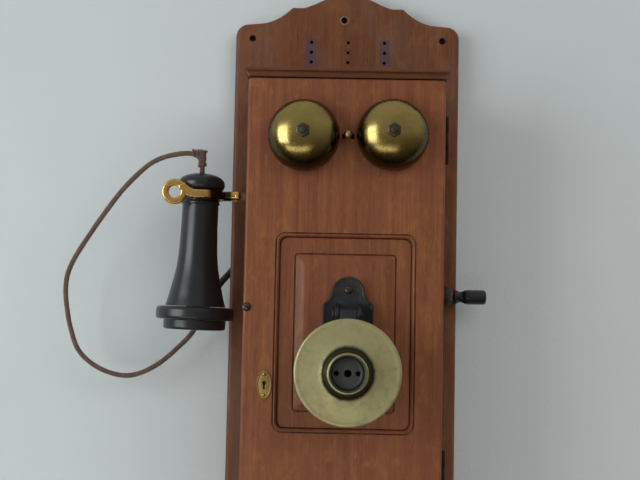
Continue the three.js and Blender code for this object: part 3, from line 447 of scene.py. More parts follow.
# ---------------------------------------------------------------- finishes
class Finish:
    """One node material. Patterns are laid out in the frame's own millimetres."""

    def __init__(self, name, **surface):
        self.material = bpy.data.materials.new(name)
        self.material.use_nodes = True
        self.tree = self.material.node_tree
        self.shader = self.tree.nodes["Principled BSDF"]
        for socket, value in surface.items():
            self.feed(self.shader.inputs[socket.replace("_", " ")], value)
        place = self.tree.nodes.new("ShaderNodeTexCoord").outputs["Object"]
        self.place = self.vector("MULTIPLY", place, (1 / MM, 1 / MM, 1 / MM))
        self.relief = None

    def feed(self, socket, value):
        if isinstance(value, bpy.types.NodeSocket):
            self.tree.links.new(value, socket)
        elif hasattr(value, "__len__"):
            value = tuple(value)
            wide = socket.type == "RGBA" and len(value) == 3
            socket.default_value = (*value, 1.0) if wide else value
        else:
            socket.default_value = value

    def vector(self, operation, a, b):
        node = self.tree.nodes.new("ShaderNodeVectorMath")
        node.operation = operation
        self.feed(node.inputs[0], a)
        self.feed(node.inputs[1], b)
        return node.outputs["Vector"]

    def number(self, operation, a, b=0.0):
        node = self.tree.nodes.new("ShaderNodeMath")
        node.operation = operation
        self.feed(node.inputs[0], a)
        self.feed(node.inputs[1], b)
        return node.outputs[0]

    def stretched(self, size, turn=(0, 0, 0), shift=(0, 0, 0)):
        """Coordinates in which one unit is that many millimetres, each way or all ways."""
        size = size if hasattr(size, "__len__") else (size, size, size)
        node = self.tree.nodes.new("ShaderNodeMapping")
        self.feed(node.inputs["Vector"], self.place)
        node.inputs["Location"].default_value = shift
        node.inputs["Rotation"].default_value = [math.radians(a) for a in turn]
        node.inputs["Scale"].default_value = [1 / s for s in size]
        return node.outputs["Vector"]

    def noise(self, size, detail=3.0, rough=0.5, distortion=0.0, turn=(0, 0, 0), shift=(0, 0, 0)):
        node = self.tree.nodes.new("ShaderNodeTexNoise")
        self.feed(node.inputs["Vector"], self.stretched(size, turn, shift))
        node.inputs["Scale"].default_value = 1
        node.inputs["Detail"].default_value = detail
        node.inputs["Roughness"].default_value = rough
        node.inputs["Distortion"].default_value = distortion
        return node.outputs["Fac"]

    def cells(self, size):
        node = self.tree.nodes.new("ShaderNodeTexVoronoi")
        self.feed(node.inputs["Vector"], self.stretched(size))
        node.inputs["Scale"].default_value = 1
        return node.outputs["Distance"]

    def between(self, value, start, end, low_value=0.0, high_value=1.0):
        """Eases a value from one number to another as the input goes from start to end."""
        node = self.tree.nodes.new("ShaderNodeMapRange")
        node.interpolation_type = "SMOOTHSTEP"
        self.feed(node.inputs["Value"], value)
        for socket, number in zip(("From Min", "From Max", "To Min", "To Max"),
                                  (start, end, low_value, high_value)):
            node.inputs[socket].default_value = number
        return node.outputs["Result"]

    def mix(self, share, a, b):
        node = self.tree.nodes.new("ShaderNodeMix")
        node.data_type = "RGBA"
        self.feed(node.inputs[0], share)
        self.feed(node.inputs[6], a)
        self.feed(node.inputs[7], b)
        return node.outputs[2]

    def axes(self):
        node = self.tree.nodes.new("ShaderNodeSeparateXYZ")
        self.feed(node.inputs[0], self.place)
        return node.outputs[0], node.outputs[1], node.outputs[2]

    def away(self, centre_x, centre_z):
        """Distance from a line along Y."""
        x, _, z = self.axes()
        dx, dz = self.number("SUBTRACT", x, centre_x), self.number("SUBTRACT", z, centre_z)
        squares = self.number("ADD", self.number("MULTIPLY", dx, dx), self.number("MULTIPLY", dz, dz))
        return self.number("SQRT", squares)

    def ragged(self, value, size, by, detail=3.0, rough=0.5):
        """The value made uneven by noise."""
        return self.number("ADD", value, self.number("MULTIPLY", self.noise(size, detail, rough), by))

    def bump(self, height, depth, strength=1.0):
        """Adds relief of that depth in millimetres."""
        node = self.tree.nodes.new("ShaderNodeBump")
        node.inputs["Strength"].default_value = strength
        node.inputs["Distance"].default_value = depth * MM
        self.feed(node.inputs["Height"], height)
        if self.relief:
            self.feed(node.inputs["Normal"], self.relief)
        self.relief = node.outputs["Normal"]
        self.feed(self.shader.inputs["Normal"], self.relief)

    def colour(self, value):
        self.feed(self.shader.inputs["Base Color"], value)
        return self.material

    def roughness(self, value):
        self.feed(self.shader.inputs["Roughness"], value)


def shade(colour, by):
    return tuple(min(1.0, c * by) for c in colour)


def oak(name, grain="z", tone=1.0, dull=0.0, stains=(), bare=None, seed=0.0):
    """Quarter-sawn oak under old varnish: pores along the grain, ray flecks across it."""
    wood = bpy.context.scene.phone_wood
    f = Finish(name, Specular_IOR_Level=0.28, Coat_Weight=0.05, Coat_Roughness=0.35)
    shift = (seed * 7.3, seed * 3.1, seed * 5.7)

    def figure(along, across, detail, rough=0.5, distortion=0.0, lean=0):
        size = tuple(along if way == grain else across for way in "xyz")
        return f.noise(size, detail, rough, distortion, (0, lean, 0), shift)

    rings = figure(190, 7.5, 3, 0.55, 0.35)
    streaks = figure(70, 1.5, 4, 0.6)
    pores = figure(13, 0.42, 2)
    cloud = figure(90, 38, 2)
    rays = figure(9, 2.6, 2, 0.5, 0.8, lean=24 if grain == "z" else 0)
    amber = figure(26, 15, 3, 0.6, 0.5)
    light, dark = shade(wood.light, tone), shade(wood.dark, tone)
    body = f.mix(f.between(rings, 0.26, 0.76, 0.12, 0.88), dark, light)
    for pattern, start, end, least, most, colour in (
            (streaks, 0.42, 0.7, 0, 0.5, shade(dark, 0.75)),
            (cloud, 0.35, 0.7, 0, 0.45, shade(dark, 1.15)),
            (amber, 0.52, 0.72, 0, 0.5, (light[0] * 1.05, light[1] * 1.15, light[2] * 0.75)),
            (amber, 0.3, 0.46, 0.45, 0, (dark[0] * 1.05, dark[1] * 0.95, dark[2] * 1.45)),
            (rays, 0.6, 0.72, 0, wood.fleck, shade(light, 1.35)),
            (pores, 0.58, 0.72, 0, 0.6, shade(dark, 0.4))):
        body = f.mix(f.between(pattern, start, end, least, most), body, colour)
    if dull:
        grey = f.noise((26, 26, 60), 4, 0.6, shift=shift)
        body = f.mix(f.between(grey, 0.4, 0.75, 0, dull), body, (0.16, 0.12, 0.09))
    x, y, z = f.axes()
    front = f.between(y, BOARD_FRONT + 2, BOARD_FRONT + 5, 1, 0)
    for cx, cz, half_x, half_z in stains:
        past = [f.number("SUBTRACT", f.number("ABSOLUTE", f.number("SUBTRACT", at, centre)), half)
                for at, centre, half in ((x, cx, half_x), (z, cz, half_z))]
        edge = f.ragged(f.number("MAXIMUM", *past), (5, 5, 7), 3.0, rough=0.6)
        stain = f.number("MULTIPLY", f.between(edge, 0.4, 2.2, 0.62, 0), front)
        body = f.mix(stain, body, (0.062, 0.05, 0.085))
    if bare:
        cx, cz, radius = bare
        ring = f.between(f.ragged(f.away(cx, cz), 3, 1.2, detail=2), radius, radius + 1.4, 0.75, 0)
        body = f.mix(f.number("MULTIPLY", ring, front), body, (0.3, 0.2, 0.12))
    f.roughness(f.between(streaks, 0.3, 0.7, wood.shine - 0.06, wood.shine + 0.12))
    f.bump(pores, 0.12, 0.5)
    f.bump(rings, 0.2, 0.25)
    return f.colour(body)


def grime_and_shade(name, tone=0.45):
    """Dark colour for the corners of the mouldings: painted shade in the recesses, partly dirt and dark varnish
    gathered there.
    """
    wood = bpy.context.scene.phone_wood
    f = Finish(name, Roughness=0.6, Specular_IOR_Level=0.25)
    patch = f.noise((6, 6, 16), 3)
    return f.colour(f.mix(f.between(patch, 0.35, 0.7), shade(wood.dark, tone), shade(wood.dark, tone * 1.8)))


def tarnished(name, colour, rough=0.28, spots=0.35, patina=(0.1, 0.085, 0.04), cloud=20, pits=0.0,
              metal=1.0, mark=None):
    """Brass or steel that has dulled unevenly; a mark is a mask and the colour that it turns to, used here for
    painted shade.
    """
    f = Finish(name, Metallic=metal)
    broad = f.noise(cloud, 4, 0.6, 0.4)
    speck = f.noise(2.2, 4, 0.7)
    scratch = f.noise((0.5, 0.3, 9), 3, 0.6, turn=(0, 35, 0))
    body = f.mix(f.between(broad, 0.38, 0.72, 0, spots), tuple(colour), shade(colour, 0.55))
    body = f.mix(f.between(speck, 0.6, 0.78, 0, spots * 1.4), body, patina)
    if mark:
        body = f.mix(mark[0](f), body, mark[1])
    f.roughness(f.number("ADD", f.between(broad, 0.3, 0.7, rough * 0.8, rough * 1.25),
                         f.between(speck, 0.5, 0.75, 0, 0.2)))
    f.bump(scratch, 0.02, 0.4)
    if pits:
        f.bump(f.cells(3.2), pits, 0.5)
    return f.colour(body)


def hook_shade_band(f):
    """Mask for the painted shade and dark reflection on a stretch of the hook's front prong."""
    x = f.axes()[0]
    return f.number("MULTIPLY", f.between(x, -129.5, -125.5), f.between(x, -110.5, -106.5, 1, 0))


def mouth_wall_shade(f):
    """Mask for the painted shade and dark reflection on the neck of the transmitter's face."""
    return f.between(f.ragged(f.away(MOUTH.x, MOUTH.z), 4, 2.0), 22.0, 25.5, 1, 0)


def bell_skirt_shade(f):
    """Mask for the painted shade and dark reflection on the skirts of the two bells, stronger towards the bottom.
    """
    nearest = f.number("MINIMUM", *[f.away(bell.x, bell.z + 2.5) for bell in BELLS.values()])
    return f.between(f.ragged(nearest, 6, 3.0), 24.0, 31.0, 0, 0.9)


def enamel(name, colour=(0.014, 0.015, 0.018), worn=(0.06, 0.058, 0.06), rough=0.36, wear=0.3):
    """Black japanned iron, worn to a dull grey in places."""
    f = Finish(name, Specular_IOR_Level=0.5)
    rub = f.noise(7, 4, 0.65)
    grain = f.noise(0.7, 2)
    f.roughness(f.between(rub, 0.35, 0.7, rough, rough + 0.22))
    f.bump(grain, 0.03, 0.5)
    return f.colour(f.mix(f.between(rub, 0.5, 0.78, 0, wear), colour, worn))


def ebonite(name, rough=0.16, dust=0.25):
    """Polished hard rubber with a bloom of age."""
    f = Finish(name, Specular_IOR_Level=0.5, Coat_Weight=0.22, Coat_Roughness=0.2)
    bloom = f.noise((14, 14, 30), 4, 0.6)
    rub = f.noise((0.8, 0.8, 5), 3, 0.6)
    f.roughness(f.between(bloom, 0.3, 0.75, rough, rough + 0.16))
    f.bump(rub, 0.015, 0.3)
    return f.colour(f.mix(f.between(bloom, 0.4, 0.8, 0, dust), (0.008, 0.0095, 0.012), (0.028, 0.03, 0.033)))


def braided(name, colour):
    """Woven cotton over a cord: two crossing sets of threads, from the mesh's own turn and length."""
    f = Finish(name, Roughness=0.9, Specular_IOR_Level=0.15, Sheen_Weight=0.25, Sheen_Roughness=0.5)
    lay = f.tree.nodes.new("ShaderNodeUVMap")
    lay.uv_map = "lay"
    split = f.tree.nodes.new("ShaderNodeSeparateXYZ")
    f.feed(split.inputs[0], lay.outputs["UV"])
    around, length = split.outputs[0], split.outputs[1]
    strands = []
    for way in (1, -1):
        phase = f.number("ADD", f.number("MULTIPLY", around, 4.0 * way), f.number("MULTIPLY", length, 3.2))
        strands.append(f.number("SINE", phase))
    weave = f.number("MAXIMUM", *strands)
    wear = f.noise((5, 5, 9), 4, 0.7)
    body = f.mix(f.between(weave, -0.2, 0.9), shade(colour, 0.55), tuple(colour))
    body = f.mix(f.between(wear, 0.45, 0.75, 0, 0.6), body, shade(colour, 1.7))
    f.bump(weave, 0.25, 0.7)
    f.bump(f.noise(0.5, 2), 0.15, 0.6)
    return f.colour(body)


def threads(name, colour):
    """Loose cotton fibres."""
    f = Finish(name, Roughness=0.95, Specular_IOR_Level=0.1, Sheen_Weight=0.3, Sheen_Roughness=0.6)
    patch = f.noise(1.2, 3)
    return f.colour(f.mix(patch, shade(colour, 0.6), shade(colour, 1.5)))


def winding(name):
    """Fine enamelled wire wound in close turns."""
    colour, pitch = (0.3, 0.085, 0.03), 0.9
    f = Finish(name, Metallic=0.6, Roughness=0.4)
    turns = f.number("SINE", f.number("MULTIPLY", f.axes()[2], 2 * math.pi / pitch))
    f.bump(turns, 0.15, 0.7)
    patch = f.noise((6, 6, 3), 3)
    return f.colour(f.mix(f.between(f.number("ADD", turns, patch), 0.0, 1.4), shade(colour, 0.45), colour))


def card(name, colour, scuff=(0.42, 0.3, 0.2)):
    """Printed card wrap, scuffed, with no print on it."""
    f = Finish(name, Roughness=0.75, Specular_IOR_Level=0.3)
    rub = f.noise((9, 9, 14), 5, 0.65)
    fibre = f.noise((0.6, 0.6, 1.6), 2)
    f.bump(fibre, 0.05, 0.5)
    return f.colour(f.mix(f.between(rub, 0.52, 0.72, 0, 0.5), tuple(colour), scuff))


FINISHES = {}


def finish(name):
    """Makes each finish once, when it is first asked for."""
    if name not in FINISHES:
        metal = bpy.context.scene.phone_metal
        cord = bpy.context.scene.phone_cord
        recipes = {
            "backboard_oak": lambda own: oak(own, tone=0.78, dull=0.3, bare=(*SCREW_HOLES[2], 4.4), seed=1,
                                         stains=[(x, 234.5, 5.6, 14.0) for x in (-36.8, 38.4)]),
            "case_oak": lambda own: oak(own, tone=0.8, seed=2),
            "door_oak": lambda own: oak(own, seed=3),
            "panel_oak": lambda own: oak(own, tone=0.93, seed=4),
            "shelf_oak": lambda own: oak(own, grain="x", tone=0.9, seed=5),
            # Top and bottom boards: a darker tone that paints the shade on their coves.
            "shaded_cap_oak": lambda own: oak(own, grain="x", tone=0.55, seed=6),
            # Moulding corners: painted shade in the recesses, partly dirt and dark varnish.
            "grime_and_shade": lambda own: grime_and_shade(own),
            # Hole and slot linings: near black, painted shade inside the holes.
            "shaded_bore": lambda own: grime_and_shade(own, 0.12),
            # The bells' skirts are darkened near black: painted shade and dark reflection, stronger towards the
            # bottom.
            "bell_brass": lambda own: tarnished(own, metal.bell, 0.23, 0.4, (0.12, 0.1, 0.04),
                                            mark=(bell_skirt_shade, (0.05, 0.042, 0.014))),
            "hinge_bronze": lambda own: tarnished(own, (0.09, 0.05, 0.032), 0.5, 0.6, (0.03, 0.02, 0.014)),
            # The neck of the face is darkened near black: painted shade and dark reflection.
            "face_brass": lambda own: tarnished(own, metal.face, 0.42, 0.5, (0.3, 0.22, 0.09), 9,
                                            pits=0.06, metal=0.72,
                                            mark=(mouth_wall_shade, (0.024, 0.02, 0.012))),
            "lip_brass": lambda own: tarnished(own, shade(metal.face, 1.05), 0.3, 0.3),
            # A stretch of the hook's front prong is darkened: painted shade and dark reflection.
            "hook_brass": lambda own: tarnished(own, metal.hook, 0.24, 0.25, (0.3, 0.17, 0.05),
                                            mark=(hook_shade_band, (0.05, 0.03, 0.02))),
            "brass": lambda own: tarnished(own, (0.55, 0.39, 0.15), 0.32, 0.4),
            "steel": lambda own: tarnished(own, (0.36, 0.36, 0.37), 0.38, 0.4, (0.13, 0.09, 0.06)),
            "nut_bronze": lambda own: tarnished(own, (0.12, 0.1, 0.085), 0.42, 0.4, (0.05, 0.04, 0.03)),
            "lever_bronze": lambda own: tarnished(own, (0.16, 0.085, 0.05), 0.4, 0.4, (0.05, 0.03, 0.02)),
            "enamel": lambda own: enamel(own),
            "cup_enamel": lambda own: enamel(own, worn=(0.03, 0.03, 0.03), rough=0.3),
            "guard_enamel": lambda own: enamel(own, (0.035, 0.035, 0.036), (0.09, 0.085, 0.08), 0.45),
            "arm_enamel": lambda own: enamel(own, (0.03, 0.022, 0.02), (0.11, 0.07, 0.05), 0.4, 0.5),
            "red_enamel": lambda own: enamel(own, (0.2, 0.022, 0.015), (0.1, 0.05, 0.04), 0.4, 0.5),
            "ebonite": lambda own: ebonite(own, 0.29),
            "grip_ebonite": lambda own: ebonite(own, 0.24, 0.4),
            "braid": lambda own: braided(own, cord.colour),
            "threads": lambda own: threads(own, shade(cord.colour, 1.3)),
            "sleeve": lambda own: braided(own, (0.04, 0.03, 0.026)),
            "whipping": lambda own: threads(own, (0.12, 0.055, 0.045)),
            "winding": lambda own: winding(own),
            "card": lambda own: card(own, (0.36, 0.06, 0.03)),
            "pitch": lambda own: card(own, (0.02, 0.018, 0.016), (0.05, 0.045, 0.04)),
            "zinc": lambda own: tarnished(own, (0.42, 0.43, 0.44), 0.45, 0.5, (0.2, 0.2, 0.2)),
        }
        FINISHES[name] = recipes[name](name)
    return FINISHES[name]


# ---------------------------------------------------------------- sizes taken from the frame
DOOR_FRONT = low("door_frame").y
DOOR_BACK = high("door_frame").y
BOARD_FRONT = low("backboard").y
PANEL_FACE = DOOR_FRONT + 4
HOOK = Vector((-138.4, -78, 78.1))
LEAN = Matrix.Rotation(math.radians(1.4), 3, "Y")
BELLS = {side: middle(f"bell_{side}") for side in ("left", "right")}
MOUTH = middle("transmitter_faceplate")
TILT = pivot("transmitter_tilt")
CRANK = pivot("crank_turn")
GRIP = pivot("grip_spin")

# Places as (x, z).
SCREW_HOLES = ((-97.2, 248), (97.2, 248), (-3.4, 268.2))
NAIL_COLUMNS, NAIL_ROWS = (-36.6, 0.9, 38.2), (224.4, 234.7, 245)
PANEL_CENTRE = (1.5, -49.3)
KEYHOLE = (-69, -96.4)
STILE_SCREW = (-86.3, -27.6)
BRACKET_SCREW = (MOUTH.x, -11)
# Half sizes of the moulded opening in the door and of the raised field in its panel.
OPENING, FIELD = (63, 89), (44.75, 69.75)


def drill(bm, x, z, radius, front, back, segments=24, rim=0.0):
    """A round cutter along Y, flared at its front by the rim."""
    return turn(bm, [(0, front - 1), (radius + rim, front - 1), (radius + rim, front), (radius, front + rim),
                     (radius, back), (0, back)], "y", (x, 0, z), segments)


def block(bm, x0, x1, y0, y1, z0, z1):
    return loft(bm, [[(x0, y, z0), (x1, y, z0), (x1, y, z1), (x0, y, z1)] for y in (y0, y1)])


# ---------------------------------------------------------------- stage
def camera():
    data = bpy.data.cameras.new("view")
    data.lens = 60.08
    data.sensor_width = 36
    data.clip_start = 0.05
    eye = bpy.data.objects.new("view", data)
    pitch, yaw, roll = 0.06727, 0.016838, 0.020329
    ahead = Vector((-math.cos(pitch) * math.sin(yaw), math.cos(pitch) * math.cos(yaw), math.sin(pitch)))
    level = Vector((math.cos(yaw), math.sin(yaw), 0))
    up = Vector((math.sin(pitch) * math.sin(yaw), -math.sin(pitch) * math.cos(yaw), math.cos(pitch)))
    right = math.cos(roll) * level + math.sin(roll) * up
    top = math.cos(roll) * up - math.sin(roll) * level
    eye.matrix_world = Matrix.Translation((-0.00577, -1.0998, -0.031)) @ Matrix(
        (right, top, -ahead)).transposed().to_4x4()
    bpy.context.scene.collection.objects.link(eye)
    bpy.context.scene.camera = eye


def lamp(name, place, target, size, power, colour, glossy=True):
    data = bpy.data.lights.new(name, "AREA")
    data.shape = "RECTANGLE"
    data.size, data.size_y = size
    data.energy = power
    data.color = colour
    light = bpy.data.objects.new(name, data)
    light.location = place
    light.rotation_euler = (Vector(target) - Vector(place)).to_track_quat("-Z", "Y").to_euler()
    light.visible_glossy = glossy
    bpy.context.scene.collection.objects.link(light)


def set_out(name, mesh, material):
    """A surface of the stage."""
    surface = link(name, mesh, material)
    return surface


def floor(half, back, level):
    ground = Finish("ground", Roughness=0.8, Specular_IOR_Level=0.2)
    ground.colour(ground.mix(ground.noise(300, 2), (0.5, 0.5, 0.48), (0.56, 0.56, 0.54)))
    mesh = bpy.data.meshes.new("floor")
    corners = ((-half, -half), (half, -half), (half, back), (-half, back))
    mesh.from_pydata([(x, y, level) for x, y in corners], [], [(0, 1, 2, 3)])
    set_out("floor", mesh, ground.material).visible_glossy = False


def wall(y, half, foot, top):
    """The wall, open behind the backboard so that daylight from behind reaches the board's back."""
    bm = bmesh.new()
    gap = [(x * MM, z * MM) for x, z in inset(board_outline(), 4)]
    edges = []
    for loop in ([(-half, foot), (half, foot), (half, top), (-half, top)], gap):
        corners = [bm.verts.new((x, y, z)) for x, z in loop]
        edges += [bm.edges.new((corners[i - 1], corners[i])) for i in range(len(corners))]
    bmesh.ops.triangle_fill(bm, use_beauty=True, use_dissolve=False, edges=edges, normal=(0, -1, 0))
    for face in bm.faces:
        if face.normal.y > 0:
            face.normal_flip()
    mesh = bpy.data.meshes.new("wall")
    bm.to_mesh(mesh)
    bm.free()
    set_out("wall", mesh, plaster())


def plaster():
    """Pale orange-peel plaster that is only there from the front."""
    f = Finish("plaster", Roughness=0.85, Specular_IOR_Level=0.2)
    lumps = f.noise(5, 3, 0.55)
    f.bump(lumps, 0.9, 0.35)
    tint = f.noise(160, 2)
    f.colour(f.mix(tint, (0.56, 0.6, 0.62), (0.62, 0.655, 0.67)))
    facing = f.tree.nodes.new("ShaderNodeNewGeometry").outputs["Backfacing"]
    clear = f.tree.nodes.new("ShaderNodeBsdfTransparent")
    blend = f.tree.nodes.new("ShaderNodeMixShader")
    f.feed(blend.inputs[0], facing)
    f.feed(blend.inputs[1], f.shader.outputs[0])
    f.feed(blend.inputs[2], clear.outputs[0])
    f.feed(f.tree.nodes["Material Output"].inputs["Surface"], blend.outputs[0])
    return f.material


def room():
    """Soft daylight: pale above, brown and dim below, and plain pale where the camera sees it."""
    world = bpy.data.worlds.new("room")
    bpy.context.scene.world = world
    world.use_nodes = True
    tree = world.node_tree
    sky = tree.nodes["Background"]
    place = tree.nodes.new("ShaderNodeTexCoord")
    split = tree.nodes.new("ShaderNodeSeparateXYZ")
    tree.links.new(place.outputs["Generated"], split.inputs[0])
    ramp = tree.nodes.new("ShaderNodeValToRGB")
    span = tree.nodes.new("ShaderNodeMapRange")
    span.inputs["From Min"].default_value = -1
    tree.links.new(split.outputs[2], span.inputs["Value"])
    tree.links.new(span.outputs[0], ramp.inputs[0])
    stops = ramp.color_ramp.elements
    stops[0].position, stops[0].color = 0.2, (0.05, 0.04, 0.03, 1)
    stops[1].position, stops[1].color = 0.95, (0.42, 0.42, 0.4, 1)
    for position, colour in ((0.42, (0.13, 0.11, 0.09, 1)), (0.6, (0.3, 0.29, 0.27, 1))):
        stop = stops.new(position)
        stop.color = colour
    tree.links.new(ramp.outputs[0], sky.inputs["Color"])
    plain = tree.nodes.new("ShaderNodeBackground")
    plain.inputs["Color"].default_value = (0.62, 0.64, 0.64, 1)
    path = tree.nodes.new("ShaderNodeLightPath")
    mix = tree.nodes.new("ShaderNodeMixShader")
    tree.links.new(path.outputs["Is Camera Ray"], mix.inputs[0])
    tree.links.new(sky.outputs[0], mix.inputs[1])
    tree.links.new(plain.outputs[0], mix.inputs[2])
    tree.links.new(mix.outputs[0], tree.nodes["World Output"].inputs["Surface"])


def stage():
    bpy.context.scene.view_settings.view_transform = "Standard"
    room()
    wall(0.001, 2.4, -0.6, 2)
    floor(3, 0.9, -0.6)
    lamp("window", (-1.45, -1.25, 0.18), (0, 0, 0.03), (1.15, 1.15), 16.8, (0.91, 0.97, 1.0))
    lamp("fill", (1.05, -1.9, 0.85), (0.1, 0, 0.05), (1.6, 1.2), 14.5, (0.98, 0.99, 0.99), glossy=False)
    lamp("rear", (1.1, 1.7, 0.9), (0, 0, 0), (1.4, 1.4), 18, (1.0, 0.99, 0.97))
    lamp("table", (-0.35, -1.15, -0.55), (0, -0.1, 0.05), (1.3, 0.3), 1.9, (1.0, 0.94, 0.8))


# ---------------------------------------------------------------- cord
CORD_ROUTE = [
    (-138.0, -78.0, 100.6), (-138.1, -78.0, 108.0), (-141.0, -78.0, 115.5), (-148.4, -78.0, 119.0),
    (-158.0, -77.6, 119.0), (-173.7, -76.0, 116.0), (-187.7, -74.0, 109.9), (-201.8, -71.0, 98.7),
    (-217.8, -67.0, 82.4), (-235.5, -62.0, 59.8), (-251.5, -58.0, 36.9), (-264.1, -54.0, 17.6),
    (-271.3, -51.0, 1.7), (-273.6, -48.0, -14.1), (-272.5, -45.0, -31.7), (-269.1, -42.0, -51.0),
    (-261.9, -39.0, -72.1), (-248.8, -36.0, -86.1), (-231.3, -34.0, -95.0), (-213.5, -32.0, -98.0),
    (-197.9, -30.0, -94.2), (-180.7, -28.0, -84.2), (-163.5, -26.0, -68.7), (-149.6, -25.0, -53.0),
    (-137.5, -22.5, -30.0), (-129.4, -19.2, -12.6)]
SLEEVE_ROUTE = [(-128.7, -18.9, -11.2), (-124.9, -16.6, -5.2), (-121.0, -13.6, 0.3), (-117.5, -11.6, 4.5),
                (-114.5, -11.0, 8.1), (-110.6, -11.0, 12.7)]
BINDING_ROUTES = [
    [(-147.5, -78.0, 119.4), (-144.5, -78.0, 119.7), (-141.0, -78.0, 119.5), (-137.2, -77.8, 120.2)],
    [(-138.0, -78.0, 106.5), (-138.0, -78.0, 110.5), (-138.3, -78.0, 115.0), (-137.4, -78.2, 122.2)]]


def cord_length(path):
    return sum((q - p).length for p, q in zip(path, path[1:]))


def wound(name, path, radius, sides, *materials, sharp=60, relief=None):
    """A tube whose turn and length are kept as a UV map, for the braid."""
    bm = bmesh.new()
    tube(bm, path, radius, sides, relief=relief)
    layer = bm.loops.layers.uv.new("lay")
    bm.verts.ensure_lookup_table()
    rows = {v: divmod(i, sides) for i, v in enumerate(bm.verts)}
    step = cord_length(path) / (len(path) - 1)
    for face in bm.faces:
        columns = [rows[loop.vert][1] for loop in face.loops]
        wraps = 0 in columns and sides - 1 in columns
        for loop, column in zip(face.loops, columns):
            around = (sides if wraps and column == 0 else column) / sides
            loop[layer].uv = (around * 2 * math.pi, rows[loop.vert][0] * step)
    return from_bmesh(name, bm, *materials, sharp=sharp)


def hang(piece):
    """Bakes a piece's placement into its mesh."""
    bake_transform(piece)


def hairs(name, spots, reach, count, rng, thick=0.22):
    """Loose threads that spring out of the cord at each spot (a point and the cord's direction)."""
    bm = bmesh.new()
    for point, ahead in spots:
        for _ in range(count):
            out = Vector((rng.uniform(-1, 1), rng.uniform(-1, 1), rng.uniform(-1, 1)))
            out = (out - ahead * out.dot(ahead) * 0.6).normalized()
            bend = Vector((rng.uniform(-1, 1), rng.uniform(-1, 1), rng.uniform(-1.2, 0.6))) * 0.5
            length = reach * rng.uniform(0.5, 1.0)
            path = [point + out * (1.6 + length * t) + bend * (length * t * t) for t in
                    (0, 0.25, 0.5, 0.75, 1)]
            tube(bm, path, lambda share: thick * (1 - 0.6 * share), 5)
    return from_bmesh(name, bm, finish("threads"), sharp=80)


def cord():
    settings = bpy.context.scene.phone_cord
    rng = random.Random(settings.seed)
    radius = settings.diameter / MM / 2
    path = smooth_path(CORD_ROUTE, 0.9)
    lumps = [rng.uniform(-0.06, 0.1) for _ in range(len(path) // 6 + 2)]

    def relief(i, k):
        a, t = divmod(i, 6)
        swell = lumps[a] * (1 - t / 6) + lumps[a + 1] * t / 6
        return swell + 0.07 * math.sin(k * math.pi / 2 + i * 0.9)

    line = wound("receiver_cord_line", path, radius - 0.1, 16, finish("braid"), relief=relief)
    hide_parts("receiver_cord")
    hang(line)
    spots = []
    for share in (0.13, 0.3, 0.52, 0.66, 0.8):
        i = round(share * (len(path) - 1))
        spots.append((path[i], (path[i + 1] - path[i - 1]).normalized()))
    frays = hairs("cord_frays", spots, 3.6, 4, rng)
    hang(frays)
    binding(rng)
    sleeve_path = smooth_path(SLEEVE_ROUTE, 0.8)
    sleeve = wound("cord_sleeve_wrap", sleeve_path, lambda t: 3.35 - 0.45 * math.exp(-t * 9), 16,
                   finish("sleeve"))
    fit(sleeve, "cord_sleeve")


def binding(rng):
    """The frayed knot where the cord turns down into the receiver."""
    bm = bmesh.new()
    spots = []
    for route, turns, size in zip(BINDING_ROUTES, (5, 8), (3.0, 3.1)):
        core = smooth_path(route, 0.6)
        tube(bm, core, lambda share: size * (0.86 + 0.14 * math.sin(share * 9)), 10)
        coil = []
        count = turns * 12
        for i in range(count + 1):
            share = i / count
            k = min(int(share * (len(core) - 1)), len(core) - 2)
            point = core[k].lerp(core[k + 1], share * (len(core) - 1) - k)
            ahead = (core[k + 1] - core[k]).normalized()
            side = (Vector((0, 1, 0)) - ahead * ahead.y).normalized()
            across = ahead.cross(side)
            turned_by = share * turns * 2 * math.pi
            reach = size + 0.25 + 0.35 * math.sin(share * 14)
            coil.append(point + (side * math.cos(turned_by) + across * math.sin(turned_by)) * reach)
        tube(bm, coil, lambda share: 0.85 + 0.2 * math.sin(share * 27), 8)
        spots += [(p, Vector((0.3, 0, 0.9)).normalized()) for p in core[4::6]]
    knot = from_bmesh("cord_binding", bm, finish("whipping"), sharp=80)
    fit(knot, "cord_knot")
    top = Vector(BINDING_ROUTES[1][-1])
    spots += [(top, Vector((0.2, 0, 1)).normalized())] * 3
    tufts = hairs("binding_frays", spots, 3.6, 6, rng, 0.2)
    trim(tufts, "cord_knot")


# ---------------------------------------------------------------- backboard and case
def board_outline():
    """The backboard's edge, counterclockwise from the lower left."""
    half = high("backboard").x
    bottom, top = low("backboard").z, high("backboard").z
    shoulder, step, corner, foot = top - 32, top - 14, 13, 8
    arch, radius = math.asin(27 / 60), 60
    centre = top - radius
    arch_end = centre + radius * math.cos(arch)
    right = arc(half - foot, bottom + foot, foot, -math.pi / 2, 0)
    right += arc(half - corner, shoulder - corner, corner, 0, math.pi / 2)
    right += [(88, shoulder + 1.3)] + quadratic((88, shoulder + 1.3), (72, shoulder + 3), (57, step))
    right += [(46, step)] + quadratic((46, step), (40.4, step + 0.8), (27, arch_end))
    right += arc(0, centre, radius, math.pi / 2 - arch, math.pi / 2, 10)[1:]
    left = [(-x, z) for x, z in reversed(right[:-1])]
    return right + left


